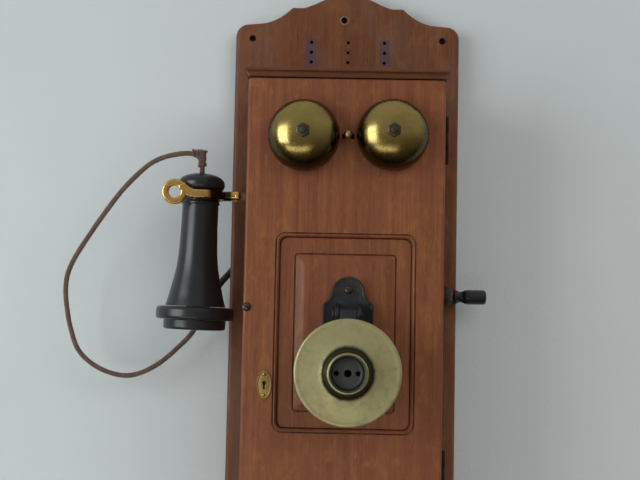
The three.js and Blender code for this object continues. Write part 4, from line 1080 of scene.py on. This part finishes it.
def backboard():
    board = from_bmesh("backboard_carved", slab(bmesh.new(), board_outline(), BOARD_FRONT, 0, 4, 6, 2),
                       finish("backboard_oak"), finish("shaded_bore"))
    holes = bmesh.new()
    for x, z in SCREW_HOLES:
        drill(holes, x, z, 2.6, BOARD_FRONT, 1, rim=0.9)
    for x in NAIL_COLUMNS:
        for z in NAIL_ROWS:
            drill(holes, x, z, 1.5, BOARD_FRONT, BOARD_FRONT + 8, 12, rim=0.3)
    carve(board, holes)
    slope = math.radians(50)
    way = Vector((math.cos(slope), 0, math.sin(slope)))
    mouth = Vector((low("backboard").x, -11, 8.1))
    carve(board, tube(bmesh.new(), [mouth + way * d for d in (-6, 30, 64)], 3.8, 16))
    inner = mouth + way * 61
    carve(board, drill(bmesh.new(), inner.x, inner.z, 4.5, BOARD_FRONT, -8))
    fit(board, "backboard")


def cap_board(name, node, direction):
    """Top or bottom board, whose edge swells in a cove."""
    level = low(node).z if direction > 0 else high(node).z
    half, reach, thick = high("door_frame").x, 3.5, 8
    cove = [(reach * (1 - u), 0.5 + (thick - 3) * v) for u, v in arc(0, 0, 1, 0, math.pi / 2, 6)[1:]]
    profile = [(0.4, 0), (0, 0.5), *cove, (reach, thick - 0.9), (reach - 0.25, thick - 0.25),
               (reach - 0.9, thick)]
    loops = []
    for out, rise in profile:
        loop = box_loop(-half - out, half + out, DOOR_FRONT - out, BOARD_FRONT - 0.3, 1.2, 4)
        loops.append([(x, y, level + direction * rise) for x, y in loop])
    fit(from_bmesh(name, loft(bmesh.new(), loops), finish("shaded_cap_oak")), node)


def case():
    cap_board("case_top", "cabinet_top", 1)
    cap_board("case_bottom", "cabinet_bottom", -1)
    dress("case_oak", 0.7, "cabinet_side_left", "cabinet_side_right")
    dress("shelf_oak", 0.8, "inner_shelf")


# ---------------------------------------------------------------- door
def panel_loop(half_sizes, grow, radius):
    """A round-cornered loop about the panel's centre, made smaller by that much all round."""
    (x, z), half_x, half_z = PANEL_CENTRE, half_sizes[0] - grow, half_sizes[1] - grow
    return box_loop(x - half_x, x + half_x, z - half_z, z + half_z, radius, 8)


def opening(grow):
    return panel_loop(OPENING, grow, 9 - grow * 0.6)


def inside_of(face, half_sizes):
    """How far a face lies inside a loop about the panel's centre."""
    (x, z), centre = PANEL_CENTRE, face.calc_center_median() / MM
    return min(half_sizes[0] - abs(centre.x - x), half_sizes[1] - abs(centre.z - z))


def door_leaf():
    lo, hi = low("door_frame"), high("door_frame")
    leaf = from_bmesh("door_leaf", slab(bmesh.new(), box_loop(lo.x, hi.x, lo.z, hi.z, 3.2, 6), DOOR_FRONT,
                                        DOOR_BACK, 2.4, 6, 0.8),
                      finish("door_oak"), finish("grime_and_shade"), finish("shaded_bore"))
    f = DOOR_FRONT
    rows = [(-0.3, f - 3), (-0.3, f - 0.01), (0.1, f + 0.5), (0.6, f + 1.0), (1.0, f + 0.9), (1.2, f + 0.3),
            (1.7, f + 0.15), (2.3, f + 0.45), (3.0, f + 1.2), (3.5, f + 2.3), (3.75, f + 3.4), (4, f + 4),
            (4, DOOR_BACK + 3)]
    cutter = loft(bmesh.new(), at_depths([(opening(grow), y) for grow, y in rows]))
    # Deep faces of the moulding and those by the opening take the darker corner finish: painted shade in the
    # recess, partly dirt.
    for face in cutter.faces:
        deep = face.calc_center_median().y / MM > f + 2.6
        face.material_index = 1 if deep or inside_of(face, OPENING) < 1.1 else 0
    carve(leaf, cutter, lining=None)
    holes = bmesh.new()
    for bell in BELLS.values():
        drill(holes, bell.x, bell.z, 3.3, f, DOOR_BACK + 1)
    drill(holes, *KEYHOLE, 3.5, f, DOOR_BACK + 1)
    drill(holes, *STILE_SCREW, 2, f, f + 13)
    slot, slot_top = middle("clapper").x, high("clapper").z - 1.8
    block(holes, slot - 5.6, slot + 5.6, f - 1, DOOR_BACK + 1, slot_top - 4.8, slot_top)
    for node in ("hinge_upper_door_leaf", "hinge_lower_door_leaf"):
        block(holes, low(node).x - 0.3, hi.x + 1, low(node).y - 0.3, DOOR_BACK + 1, low(node).z - 0.3,
              high(node).z + 0.3)
    carve(leaf, holes)
    fit(leaf, "door_frame")


def door_panel():
    f = PANEL_FACE
    rows = [(opening(grow), y) for grow, y in
            ((4.6, DOOR_BACK - 0.3), (4.3, DOOR_BACK - 0.6), (4.3, f + 0.4), (4.6, f))]
    rows += [(panel_loop(FIELD, grow, radius), y) for grow, radius, y in
             ((-1.2, 4, f), (-0.5, 3.6, f + 0.7), (0, 3.2, f + 0.7), (0.3, 3, f - 0.3), (0.9, 3, f - 0.6),
              (7.4, 2.4, f - 2.2), (7.9, 2.2, f - 2.45), (8.6, 2, f - 2.5))]
    bm = loft(bmesh.new(), at_depths(rows))
    # A thin ring of faces round the raised field takes the darker corner finish: a painted shadow line, partly
    # dirt.
    for face in bm.faces:
        shallow = face.calc_center_median().y / MM < f + 1
        face.material_index = 1 if shallow and -1.0 < inside_of(face, FIELD) < 0.3 else 0
    panel = from_bmesh("raised_panel", bm, finish("panel_oak"), finish("grime_and_shade"))
    carve(panel, drill(bmesh.new(), *BRACKET_SCREW, 2, f - 2.5, f + 8))
    fit(panel, "door_panel")


def round_screw(name, node, radius, metal):
    """Round-head wood screw with a slot."""
    lo, hi = low(node), high(node)
    head = lo.y
    seat = head + radius * 0.55
    profile = [(0, hi.y), (0.9, hi.y - 0.3), (1.6, hi.y - 3), (1.7, seat), (radius - 0.25, seat),
               (radius, seat - 0.25)]
    domed = [(radius * u, seat - 0.25 - (seat - 0.25 - head) * v) for u, v in arc(0, 0, 1, 0, math.pi / 2)]
    profile += domed[1:-1] + [(0, head)]
    centre = middle(node)
    screw = turned(name, profile, "y", (centre.x, 0, centre.z), finish(metal), finish("shaded_bore"), segments=40,
                   round_by=0)
    slot = bmesh.new()
    block(slot, centre.x - radius - 1, centre.x + radius + 1, head - 1, head + radius * 0.25,
          centre.z - 0.5, centre.z + 0.5)
    spin = Matrix.Rotation(math.radians(25), 4, "Y")
    at = Matrix.Translation(Vector((centre.x, 0, centre.z)) * MM)
    slot.transform(at @ spin @ at.inverted())
    carve(screw, slot)
    fit(screw, node)


def lock():
    round_screw("stile_screw_head", "stile_screw", 4, "nut_bronze")
    centre = middle("escutcheon")
    half_x, half_z = 6.6, 13.2
    back = high("escutcheon").y

    def oval(scale_x, scale_z, y):
        return [(centre.x + scale_x * math.cos(a), y, centre.z + scale_z * math.sin(a))
                for a in (2 * math.pi * k / 64 for k in range(64))]

    rows = [oval(half_x - in_x, half_z - in_z, back - rise) for in_x, in_z, rise in
            ((0.2, 0.2, 0), (0, 0, 0.3), (0, 0, 0.8), (0.35, 0.35, 1.15), (0.9, 0.9, 1.15), (1.3, 1.3, 0.7),
             (2.2, 2.4, 0.75), (3.4, 6, 1.0))]
    shield = from_bmesh("key_plate", loft(bmesh.new(), rows), finish("brass"), finish("shaded_bore"))
    keyhole = bmesh.new()
    drill(keyhole, centre.x, centre.z + 1.6, 1.8, back - 3, back + 1)
    block(keyhole, centre.x - 0.8, centre.x + 0.8, back - 3, back + 1, centre.z - 4.2, centre.z + 1.6)
    carve(shield, keyhole)
    pins = bmesh.new()
    for rise in (-9.2, 9.2):
        turn(pins, [(0, back - 0.2), (1.4, back - 0.2), (1.5, back - 1.2), (1.2, back - 1.9),
                    (0.6, back - 2.4), (0, back - 2.5)], "y", (centre.x, 0, centre.z + rise), 24)
    carve(shield, pins, "UNION", 0)
    fit(shield, "escutcheon")
    dress("steel", 0.6, "lock_case")
    dress("brass", 0.4, "lock_bolt")


def hinges():
    dress("hinge_bronze", 0.25, *[f"hinge_{end}_{part}_leaf" for end in ("upper", "lower")
                                  for part in ("cabinet", "door")])


# ---------------------------------------------------------------- bells and ringer
def bell(side):
    """A gong of even thickness, a little squarer than a half globe."""
    node, centre = f"bell_{side}", BELLS[side]
    rim, crown = high(node).y, low(node).y
    height, radius, thick, hole = rim - crown, high(node).x - centre.x, 1.6, 3.4
    fullness = 2 / 2.4

    def dome(shrink):
        curve = [(r ** fullness, h ** fullness) for r, h in arc(0, 0, 1, 0, math.pi / 2, 32)[:-1] + [(0, 1)]]
        return [(r * (radius - shrink), rim - h * (height - shrink)) for r, h in curve
                if r * (radius - shrink) > hole]

    profile = dome(0) + [(hole, crown), (hole, crown + thick)] + dome(thick)[::-1]
    profile += [(radius - thick + 0.3, rim - 0.15), (radius - thick / 2, rim), (radius - 0.3, rim - 0.15)]
    gong = turned(f"gong_{side}", profile, "y", (centre.x, 0, centre.z), finish("bell_brass"),
                  segments=128, round_by=0, closed=True, sharp=50)
    fit(gong, node)


def bell_nut(side):
    node, centre = f"bell_nut_{side}", BELLS[side]
    back, front = high(node).y, low(node).y
    loops = []
    for reach, y in ((5.6, back), (6.35, back - 0.4), (6.35, front + 0.9), (6.0, front + 0.3), (5.1, front)):
        loop = []
        for k in range(48):
            a = 2 * math.pi * k / 48
            across_flats = 5.54 / math.cos((a + math.pi / 6) % (math.pi / 3) - math.pi / 6)
            size = min(reach, across_flats)
            loop.append((centre.x + size * math.cos(a), y, centre.z + size * math.sin(a)))
        loops.append(loop)
    nut = from_bmesh(f"gong_nut_{side}", loft(bmesh.new(), loops), finish("nut_bronze"), sharp=28)
    carve(nut, drill(bmesh.new(), centre.x, centre.z, 3.3, front, back + 1), lining=0)
    fit(nut, node)


def bells():
    for side in BELLS:
        bell(side)
        dress("nut_bronze", 0.3, f"bell_post_{side}")
        bell_nut(side)


def ringer():
    dress("steel", 0.5, "ringer_frame")
    dress("steel", 0.4, "ringer_armature")
    for side in ("left", "right"):
        node = f"ringer_coil_{side}"
        spool(f"ringer_spool_{side}", node, middle(node), low(node).z, 34, 11.6, 10.3, 3.5, 3)
    lo, hi = low("clapper"), high("clapper")
    size = 4.2
    x, ball = middle("clapper").x, Vector((middle("clapper").x, lo.y + size, hi.z - size))
    rod_y = hi.y - 1.4
    route = [(x, rod_y, lo.z), (x, rod_y, lo.z + 15), (x, rod_y - 0.4, ball.z - 12),
             (x, rod_y - 3, ball.z - 4), (x, rod_y - 9, ball.z - 0.4), (x, DOOR_BACK - 4, ball.z),
             (x, ball.y, ball.z)]
    wire = from_bmesh("clapper_rod", tube(bmesh.new(), smooth_path(route, 1.5), 1.3, 14), finish("brass"))
    half_round = [(reach, -height) for height, reach in arc(0, 0, size, 0, math.pi, 20)]
    carve(wire, turn(bmesh.new(), half_round, "y", ball, 40), "UNION")
    fit(wire, "clapper")


def spool(name, node, centre, foot, height, cheek, core, pole, pole_reach):
    """A coil of wire between two fibre cheeks, on an iron pole."""
    profile = [(0, foot), (cheek, foot), (cheek, foot + 2), (core, foot + 2), (core, foot + height - 2),
               (cheek, foot + height - 2), (cheek, foot + height), (pole, foot + height),
               (pole, foot + height + pole_reach), (0, foot + height + pole_reach)]
    piece = turned(name, profile, "z", (centre.x, centre.y, 0), finish("pitch"), finish("winding"),
                   finish("steel"), segments=48, round_by=0.3)
    for face in piece.data.polygons:
        at = face.center / MM
        reach = math.hypot(at.x - centre.x, at.y - centre.y)
        if foot + 1.9 < at.z < foot + height - 1.9 and reach < core + 0.3:
            face.material_index = 1
        elif reach < pole + 0.2 and at.z > foot + height - 0.2:
            face.material_index = 2
    fit(piece, node)


# ---------------------------------------------------------------- transmitter
def plate_outline():
    x, half, crown, crown_z = MOUTH.x, 22.35, 14.7, -14
    shoulder, foot, corner = crown_z - 11, MOUTH.z - 30, 6
    side, flare = (x + half, shoulder - 0.6), (x + half - 1.9, shoulder + 2.9)
    right = arc(x + half - corner, foot + corner, corner, -math.pi / 2, 0, 6) + [side]
    right += quadratic(side, (x + half, shoulder + 1.6), flare, 6)
    right += quadratic(flare, (x + crown + 1, crown_z - 5), (x + crown, crown_z), 8)
    right += arc(x, crown_z, crown, 0, math.pi / 2, 12)[1:]
    return right + [(2 * x - u, v) for u, v in reversed(right[:-1])]


def pin_bore(bm):
    """Bore for the pin that the transmitter tilts on."""
    return rod(bm, 2.3, -20, 20, "x", (MOUTH.x, TILT.y, TILT.z), 24)


def transmitter_bracket():
    back = high("transmitter_back_plate").y
    front = back - 5
    rows = [(0.4, back), (0, back - 0.4), (0, front + 1.4), (0.3, front + 0.5), (0.9, front),
            (1.5, front + 0.05), (1.9, front + 0.35), (2.3, front + 0.5)]
    bm = loft(bmesh.new(), at_depths([(inset(plate_outline(), by), y) for by, y in rows]))
    plate = from_bmesh("transmitter_bracket", bm, finish("enamel"), finish("shaded_bore"))
    for sign in (-1, 1):
        a, b = sorted((MOUTH.x + sign * 8, MOUTH.x + sign * 11.5))
        ear = [(front + 1.2, TILT.z - 10), (front + 1.2, TILT.z + 10)]
        ear += arc(TILT.y, TILT.z, 7, math.pi / 2 + 0.15, math.pi * 1.5 - 0.15, 14)
        carve(plate, slab(bmesh.new(), counterclockwise(ear), a, b, 0.7, 3, lay=flat_yz), "UNION", 0)
    x, z = BRACKET_SCREW
    boss = turn(bmesh.new(), [(0, front + 2), (6.2, front + 2), (6.2, front + 0.5), (5.8, front + 0.1),
                              (0, front + 0.1)], "y", (x, 0, z), 32)
    carve(plate, boss, "UNION", 0)
    carve(plate, pin_bore(drill(bmesh.new(), x, z, 2, front - 1, back + 1)))
    fit(plate, "transmitter_back_plate")
    round_screw("bracket_screw_head", "back_plate_screw", 3.6, "nut_bronze")
    dress("arm_enamel", 0.3, "transmitter_pivot_pin")


def transmitter_cup(rim, axis):
    bowl = turned("transmitter_shell", [
        (0, rim + 28), (25, rim + 28), (33, rim + 24), (37, rim + 16), (37, rim + 0.3), (34.5, rim + 0.3),
        (34.5, rim + 16), (31, rim + 22), (24, rim + 25.5), (0, rim + 25.5)], "y", axis,
        finish("cup_enamel"), finish("shaded_bore"), segments=96, round_by=2.2)
    back = rim + 28
    tail = arc(TILT.y, TILT.z, 6, 0.3, math.pi - 0.3, 12)
    tail += [(back - 1.5, MOUTH.z + 22), (back - 1.5, MOUTH.z + 8), (back + 3, MOUTH.z + 8)]
    carve(bowl, slab(bmesh.new(), counterclockwise(tail), MOUTH.x - 7.5, MOUTH.x + 7.5, 0.5, 2, lay=flat_yz),
          "UNION", 0)
    carve(bowl, pin_bore(bmesh.new()))
    fit(bowl, "transmitter_cup")


def transmitter_face(rim, axis):
    r, neck, thick = 45.5, 18.1, 1.5
    front = [(r - 0.5, rim), (r, rim - 0.8), (r, rim - 2.0), (r - 0.8, rim - 3.0), (r - 2.4, rim - 3.2),
             (r - 4.5, rim - 3.0), (r - 10, rim - 3.3), (r - 16, rim - 3.8), (neck + 6.4, rim - 4.4),
             (neck + 4.2, rim - 5.0), (neck + 2.9, rim - 6.2), (neck + 2.0, rim - 8.4),
             (neck + 1.1, rim - 11.4), (neck, rim - 14)]
    behind = [(max(u - thick * 0.4, 16.7), v + thick) for u, v in reversed(front[4:-1])]
    profile = front + [(neck - thick, rim - 14)] + behind + [(r - 6, rim)]
    face = turned("transmitter_face", profile, "y", axis, finish("face_brass"), segments=128, round_by=0.8,
                  closed=True, sharp=60)
    fit(face, "transmitter_faceplate")


def mouthpiece(rim, axis):
    """The threaded collar with its bright lip, and the pierced guard in it."""
    c = 16.2
    collar = turned("mouth_collar", [
        (c - 2.6, rim - 4), (c - 0.2, rim - 4), (c - 0.2, rim - 14.3), (c + 1.2, rim - 14.3),
        (c + 1.4, rim - 15.4), (c + 0.6, rim - 16.8), (c - 0.8, rim - 17), (c - 2.2, rim - 16.4),
        (c - 2.6, rim - 15)], "y", axis, finish("enamel"), finish("lip_brass"), segments=96, round_by=0.4,
        closed=True)
    for part in collar.data.polygons:
        at = part.center / MM
        reach = math.hypot(at.x - MOUTH.x, at.z - MOUTH.z)
        if at.y < rim - 15.7 and c - 0.7 < reach < c + 1.25:
            part.material_index = 1
    fit(collar, "mouthpiece_collar")
    guard = turned("mouth_guard", [
        (0, rim - 7), (c - 2.9, rim - 7), (c - 2.9, rim - 9), (c - 4.4, rim - 9), (c - 5.4, rim - 8.5),
        (0, rim - 8.7)], "y", axis, finish("guard_enamel"), finish("shaded_bore"), segments=72, round_by=0.3)
    holes = bmesh.new()
    for dx, dz, radius in ((-9.6, 0, 2.2), (0, 0, 3.2), (8.6, 0, 2.2)):
        drill(holes, MOUTH.x + dx, MOUTH.z + dz, radius, rim - 11, rim - 5, 32)
    carve(guard, holes)
    fit(guard, "mouthpiece_guard")


def transmitter():
    rim, axis = low("transmitter_cup").y - 0.3, (MOUTH.x, 0, MOUTH.z)
    transmitter_cup(rim, axis)
    transmitter_face(rim, axis)
    mouthpiece(rim, axis)
    dress("pitch", 0.4, "carbon_button")


# ---------------------------------------------------------------- crank and magneto
def crank():
    side = high("door_frame").x
    hub, tip = 9, 7.2
    throw = GRIP.y - CRANK.y
    lean = math.asin((hub - tip) / throw)
    outline = arc(CRANK.y, CRANK.z, hub, math.pi / 2 - lean, math.pi * 1.5 + lean, 20)
    outline += arc(GRIP.y, CRANK.z, tip, -math.pi / 2 - lean, math.pi / 2 + lean, 18)
    lever = slab(bmesh.new(), counterclockwise(outline), side + 7.5, side + 12, 1.1, 4, lay=flat_yz)
    arm = from_bmesh("crank_lever", lever, finish("arm_enamel"), finish("shaded_bore"))
    end = high("crank_grip").x
    boss = filleted([(0, side + 4.5), (hub - 0.6, side + 4.5), (hub - 0.6, side + 13.5),
                     (0, side + 13.5)], 0.9)
    carve(arm, turn(bmesh.new(), boss, "x", (0, CRANK.y, CRANK.z), 48), "UNION", 0)
    spindle = filleted([(0, side + 11), (5.2, side + 11), (5.2, side + 14.5), (2.5, side + 15.5),
                        (2.5, end - 4), (0, end - 4)], 0.5)
    carve(arm, turn(bmesh.new(), spindle, "x", (0, GRIP.y, GRIP.z), 32), "UNION", 0)
    carve(arm, rod(bmesh.new(), 4.3, side, side + 20, "x", (0, CRANK.y, CRANK.z), 32), lining=0)
    fit(arm, "crank_arm")
    start, g = low("crank_grip").x, 7.3
    grip = turned("crank_handle", [
        (0, end - 3.4), (2.8, end - 3.4), (2.8, start), (g - 0.3, start), (g, start + 0.8), (g, start + 2.4),
        (g - 1.2, start + 3.9), (g - 2.1, start + 6.6), (g - 1.5, start + 9.2), (g - 0.3, start + 11.4),
        (g, start + 15), (g - 0.1, end - 3), (g - 0.6, end - 1), (g - 2.2, end - 0.1), (g - 4, end),
        (0, end)], "x", (0, GRIP.y, GRIP.z), finish("grip_ebonite"), round_by=0.9)
    fit(grip, "crank_grip")
    dress("steel", 0.4, "crank_shaft")
    dress("brass", 0.3, "crank_bushing")


def magneto():
    dress("brass", 0.3, "magneto_plate_left", "magneto_plate_right", "drive_gear")
    dress("red_enamel", 0.8, "magneto_magnet_1", "magneto_magnet_2")
    dress("steel", 0.15, "magneto_armature")


# ---------------------------------------------------------------- hook
def ribbon(bm, path, half_wide, half_tall):
    """A bar of rounded rectangular section along a path."""
    loops = []
    section = box_loop(-half_wide, half_wide, -half_tall, half_tall, 1.4, 3)
    for i, p in enumerate(path):
        ahead = (path[min(i + 1, len(path) - 1)] - path[max(i - 1, 0)]).normalized()
        side = ahead.cross(Vector((0, 0, 1))).normalized()
        top = side.cross(ahead)
        loops.append([p + side * u + top * v for u, v in section])
    return loft(bm, loops)


def hook():
    outer, inner = 24, 19
    mean = (outer + inner) / 2
    rear = HOOK.x - 19
    bm = bmesh.new()
    yoke = [Vector((rear, HOOK.y + mean, HOOK.z)), Vector((HOOK.x - 8, HOOK.y + mean, HOOK.z))]
    for k in range(25):
        a = math.pi / 2 - k / 24 * math.pi
        yoke.append(HOOK + Vector((mean * math.cos(a), mean * math.sin(a), 0)))
    eye = Vector((HOOK.x - 22.4, HOOK.z + 1.5))
    bend = [Vector((HOOK.x + 2, HOOK.z)), Vector((HOOK.x - 7, HOOK.z)), eye + Vector((13, -0.5)),
            eye + Vector((6.3, 6.3))]
    for k in range(3, 25):
        t = k / 24
        p = ((1 - t) ** 3 * bend[0] + 3 * t * (1 - t) ** 2 * bend[1] + 3 * t * t * (1 - t) * bend[2]
             + t ** 3 * bend[3])
        yoke.append(Vector((p.x, HOOK.y - mean, p.y)))
    ribbon(bm, yoke, 2.4, 4.1)
    tip = yoke[0]
    turn(bm, [(0, -4.2), (1.6, -4.2), (2.4, -3.4), (2.4, 3.4), (1.6, 4.2), (0, 4.2)], "z", tip, 24)
    turn(bm, [(0, HOOK.x + inner + 1), (4.7, HOOK.x + inner + 1.5), (4.7, -105), (5.0, -104.4),
              (5.0, -101.8), (4.2, -101), (0, -101)], "x", (0, HOOK.y, HOOK.z), 40)
    fork = from_bmesh("receiver_hook", bm, finish("hook_brass"))
    front = HOOK.y - outer
    ring = filleted([(5.6, front + 0.3), (12.1, front + 0.3), (12.1, front + 4.7), (5.6, front + 4.7)],
                    2.0, 5, closed=True)
    join_shells(fork, turn(bmesh.new(), ring, "y", (eye.x, 0, eye.y), 64, closed=True))
    cast(fork, 0.42, 4)
    fit(fork, "hook_fork")
    dress("lever_bronze", 0.5, "hook_lever")
    dress("steel", 0.5, "hook_bracket")
    dress("brass", 0.15, "contact_springs")


def join_shells(piece, bm):
    outward(bm)
    bm.from_mesh(piece.data)
    bm.to_mesh(piece.data)
    bm.free()


# ---------------------------------------------------------------- receiver
def receiver():
    cap = turned("receiver_crown", filleted([
        (3, 5.4), (19.2, 5.4), (21.2, 6.6), (22.3, 9.4), (22.3, 12.4), (21.6, 14.6), (19.4, 17.2),
        (15.4, 19.4), (10, 20.9), (6, 21.5), (3, 21.5)], 1.2, 4, closed=True), "z", HOOK,
        finish("ebonite"), segments=96, round_by=0, closed=True, turning=LEAN)
    fit(cap, "receiver_top_cap")
    top, end, thick = 5.1, -106.2, 3
    flare = [(28.7, end), (27.9, -103.4), (26.5, -98.8), (24, -88), (21.9, -79), (20.2, -70.5), (18.9, -60),
             (18.1, -48), (17.5, -30), (17.3, -12)]
    outside = [(p.x, p.z) for p in smooth_path([(r, 0, h) for r, h in flare], 2.5)]
    outside += [(17.2, -9), (18.2, -8.2), (18.4, -6.8), (17.7, -5.6), (17, -5), (17, top)]
    inside = [(r - thick, h) for r, h in reversed(outside[:-6])]
    shell = turned("receiver_barrel", outside + [(3, top), (3, top - thick), (14, top - thick)] + inside,
                   "z", HOOK, finish("ebonite"), segments=96, round_by=0, closed=True, turning=LEAN)
    fit(shell, "receiver_shell")
    top, bottom, low_end = -106.5, -118.9, -128.4
    ear = turned("receiver_ear_cap", [
        (6, low_end + 4), (10, low_end + 1), (26, low_end), (28.6, low_end + 0.4), (29.5, low_end + 2),
        (29.5, bottom), (34.5, bottom), (36.4, bottom + 0.8), (37, bottom + 2.8), (37, top - 3.4),
        (36.2, top - 1.2), (34, top - 0.1), (27, top), (27, bottom - 2), (6, bottom - 2)], "z", HOOK,
        finish("ebonite"), segments=128, round_by=0.7, closed=True, turning=LEAN)
    fit(ear, "ear_cap")
    dress("steel", 0.1, "receiver_diaphragm")
    dress("red_enamel", 0.5, "receiver_magnet")


# ---------------------------------------------------------------- power
def dry_cells():
    for side in ("left", "right"):
        node = f"dry_cell_{side}"
        centre, foot = middle(node), low(node).z
        radius, height = 31.5, 150
        cell = turned(f"cell_{side}", [
            (0, foot), (radius - 0.8, foot), (radius, foot + 1), (radius, foot + 4),
            (radius - 0.5, foot + 5), (radius - 0.5, foot + height - 5), (radius, foot + height - 4),
            (radius, foot + height - 0.6), (radius - 1, foot + height), (radius - 2.5, foot + height - 0.4),
            (radius - 2.8, foot + height - 2), (9, foot + height - 2), (8.4, foot + height - 1),
            (0, foot + height - 1)],
            "z", (centre.x, centre.y, 0), finish("card"), finish("pitch"), finish("zinc"), segments=72,
            round_by=0.3)
        for face in cell.data.polygons:
            at = face.center / MM
            reach = math.hypot(at.x - centre.x, at.y - centre.y)
            if at.z > foot + height - 2.3 and reach < radius - 2.4:
                face.material_index = 1
            elif at.z > foot + height - 4.4 or at.z < foot + 4.4:
                face.material_index = 2
        for x, reach, start, end in ((centre.x, 4, 146, 159), (centre.x + radius - 7, 2.5, 147, 158)):
            post = filleted([(0, foot + start), (reach, foot + start), (reach, foot + end - 6),
                             (reach * 0.6, foot + end - 5.6), (reach * 0.6, foot + end - 5),
                             (reach, foot + end - 4.6), (reach, foot + end - 1), (0, foot + end)], 0.3)
            carve(cell, turn(bmesh.new(), post, "z", (x, centre.y, 0), 24), "UNION")
        fit(cell, node)


def speech_coil():
    node = "induction_coil"
    lo, hi, centre = low(node), high(node), middle(node)
    coil = from_bmesh("speech_coil", bar(bmesh.new(), lo, (hi.x, hi.y, lo.z + 4), 0.8), finish("shelf_oak"),
                      finish("winding"))
    core = rod(bmesh.new(), 10, lo.z + 3, hi.z - 3, "z", (centre.x, centre.y, 0), 48)
    carve(coil, core, "UNION")
    carve(coil, bar(bmesh.new(), (lo.x, lo.y, hi.z - 4), hi, 0.8), "UNION", 0)
    fit(coil, node)


# ---------------------------------------------------------------- operators
class PHONE_OT_stage(bpy.types.Operator):
    """Camera, wall, floor and daylight"""

    bl_idname = "phone.stage"
    bl_label = "Stage"

    def execute(self, context):
        camera()
        stage()
        return {"FINISHED"}


class PHONE_OT_cord(bpy.types.Operator):
    """Braided receiver cord, its frayed binding and the sleeve at the board"""

    bl_idname = "phone.cord"
    bl_label = "Receiver Cord"

    def execute(self, context):
        cord()
        return {"FINISHED"}


class PHONE_OT_case(bpy.types.Operator):
    """Backboard, case sides, coved top and bottom boards and the shelf"""

    bl_idname = "phone.case"
    bl_label = "Board and Case"

    def execute(self, context):
        backboard()
        case()
        return {"FINISHED"}


class PHONE_OT_door(bpy.types.Operator):
    """Door with its moulded panel, hinges, screw and lock"""

    bl_idname = "phone.door"
    bl_label = "Door"

    def execute(self, context):
        door_leaf()
        door_panel()
        hinges()
        lock()
        return {"FINISHED"}


class PHONE_OT_bells(bpy.types.Operator):
    """Bell gongs, nuts, clapper and ringer coils"""

    bl_idname = "phone.bells"
    bl_label = "Bells and Ringer"

    def execute(self, context):
        bells()
        ringer()
        return {"FINISHED"}


class PHONE_OT_transmitter(bpy.types.Operator):
    """Transmitter bracket, cup, brass face and mouth collar"""

    bl_idname = "phone.transmitter"
    bl_label = "Transmitter"

    def execute(self, context):
        transmitter_bracket()
        transmitter()
        return {"FINISHED"}


class PHONE_OT_crank(bpy.types.Operator):
    """Crank, grip and the magneto that they drive"""

    bl_idname = "phone.crank"
    bl_label = "Crank and Magneto"

    def execute(self, context):
        crank()
        magneto()
        return {"FINISHED"}


class PHONE_OT_receiver(bpy.types.Operator):
    """Hook, its switch and the receiver that hangs on it"""

    bl_idname = "phone.receiver"
    bl_label = "Hook and Receiver"

    def execute(self, context):
        hook()
        receiver()
        return {"FINISHED"}


class PHONE_OT_power(bpy.types.Operator):
    """Dry cells and the speech coil inside the case"""

    bl_idname = "phone.power"
    bl_label = "Cells and Coil"

    def execute(self, context):
        dry_cells()
        speech_coil()
        return {"FINISHED"}


STEPS = (PHONE_OT_stage, PHONE_OT_cord, PHONE_OT_case, PHONE_OT_door, PHONE_OT_bells, PHONE_OT_transmitter,
         PHONE_OT_crank, PHONE_OT_receiver, PHONE_OT_power)


class PHONE_PT_panel(bpy.types.Panel):
    """Settings and steps of the telephone"""

    bl_idname = "PHONE_PT_panel"
    bl_label = "Magneto Wall Telephone"
    bl_space_type = "VIEW_3D"
    bl_region_type = "UI"
    bl_category = "Telephone"

    def draw(self, context):
        for settings in (context.scene.phone_wood, context.scene.phone_metal, context.scene.phone_cord):
            box = self.layout.box()
            for name in settings.__annotations__:
                box.prop(settings, name)
        for step in STEPS:
            self.layout.operator(step.bl_idname)


CLASSES = (WoodSettings, MetalSettings, CordSettings, *STEPS, PHONE_PT_panel)


def register():
    for cls in CLASSES:
        bpy.utils.register_class(cls)
    bpy.types.Scene.phone_wood = PointerProperty(type=WoodSettings)
    bpy.types.Scene.phone_metal = PointerProperty(type=MetalSettings)
    bpy.types.Scene.phone_cord = PointerProperty(type=CordSettings)


def unregister():
    del bpy.types.Scene.phone_cord
    del bpy.types.Scene.phone_metal
    del bpy.types.Scene.phone_wood
    for cls in reversed(CLASSES):
        bpy.utils.unregister_class(cls)


def main():
    register()
    bpy.ops.phone.stage()
    bpy.ops.phone.cord()
    bpy.ops.phone.case()
    bpy.ops.phone.door()
    bpy.ops.phone.bells()
    bpy.ops.phone.transmitter()
    bpy.ops.phone.crank()
    bpy.ops.phone.receiver()
    bpy.ops.phone.power()
    bpy.context.view_layer.update()


if __name__ == "__main__":
    main()
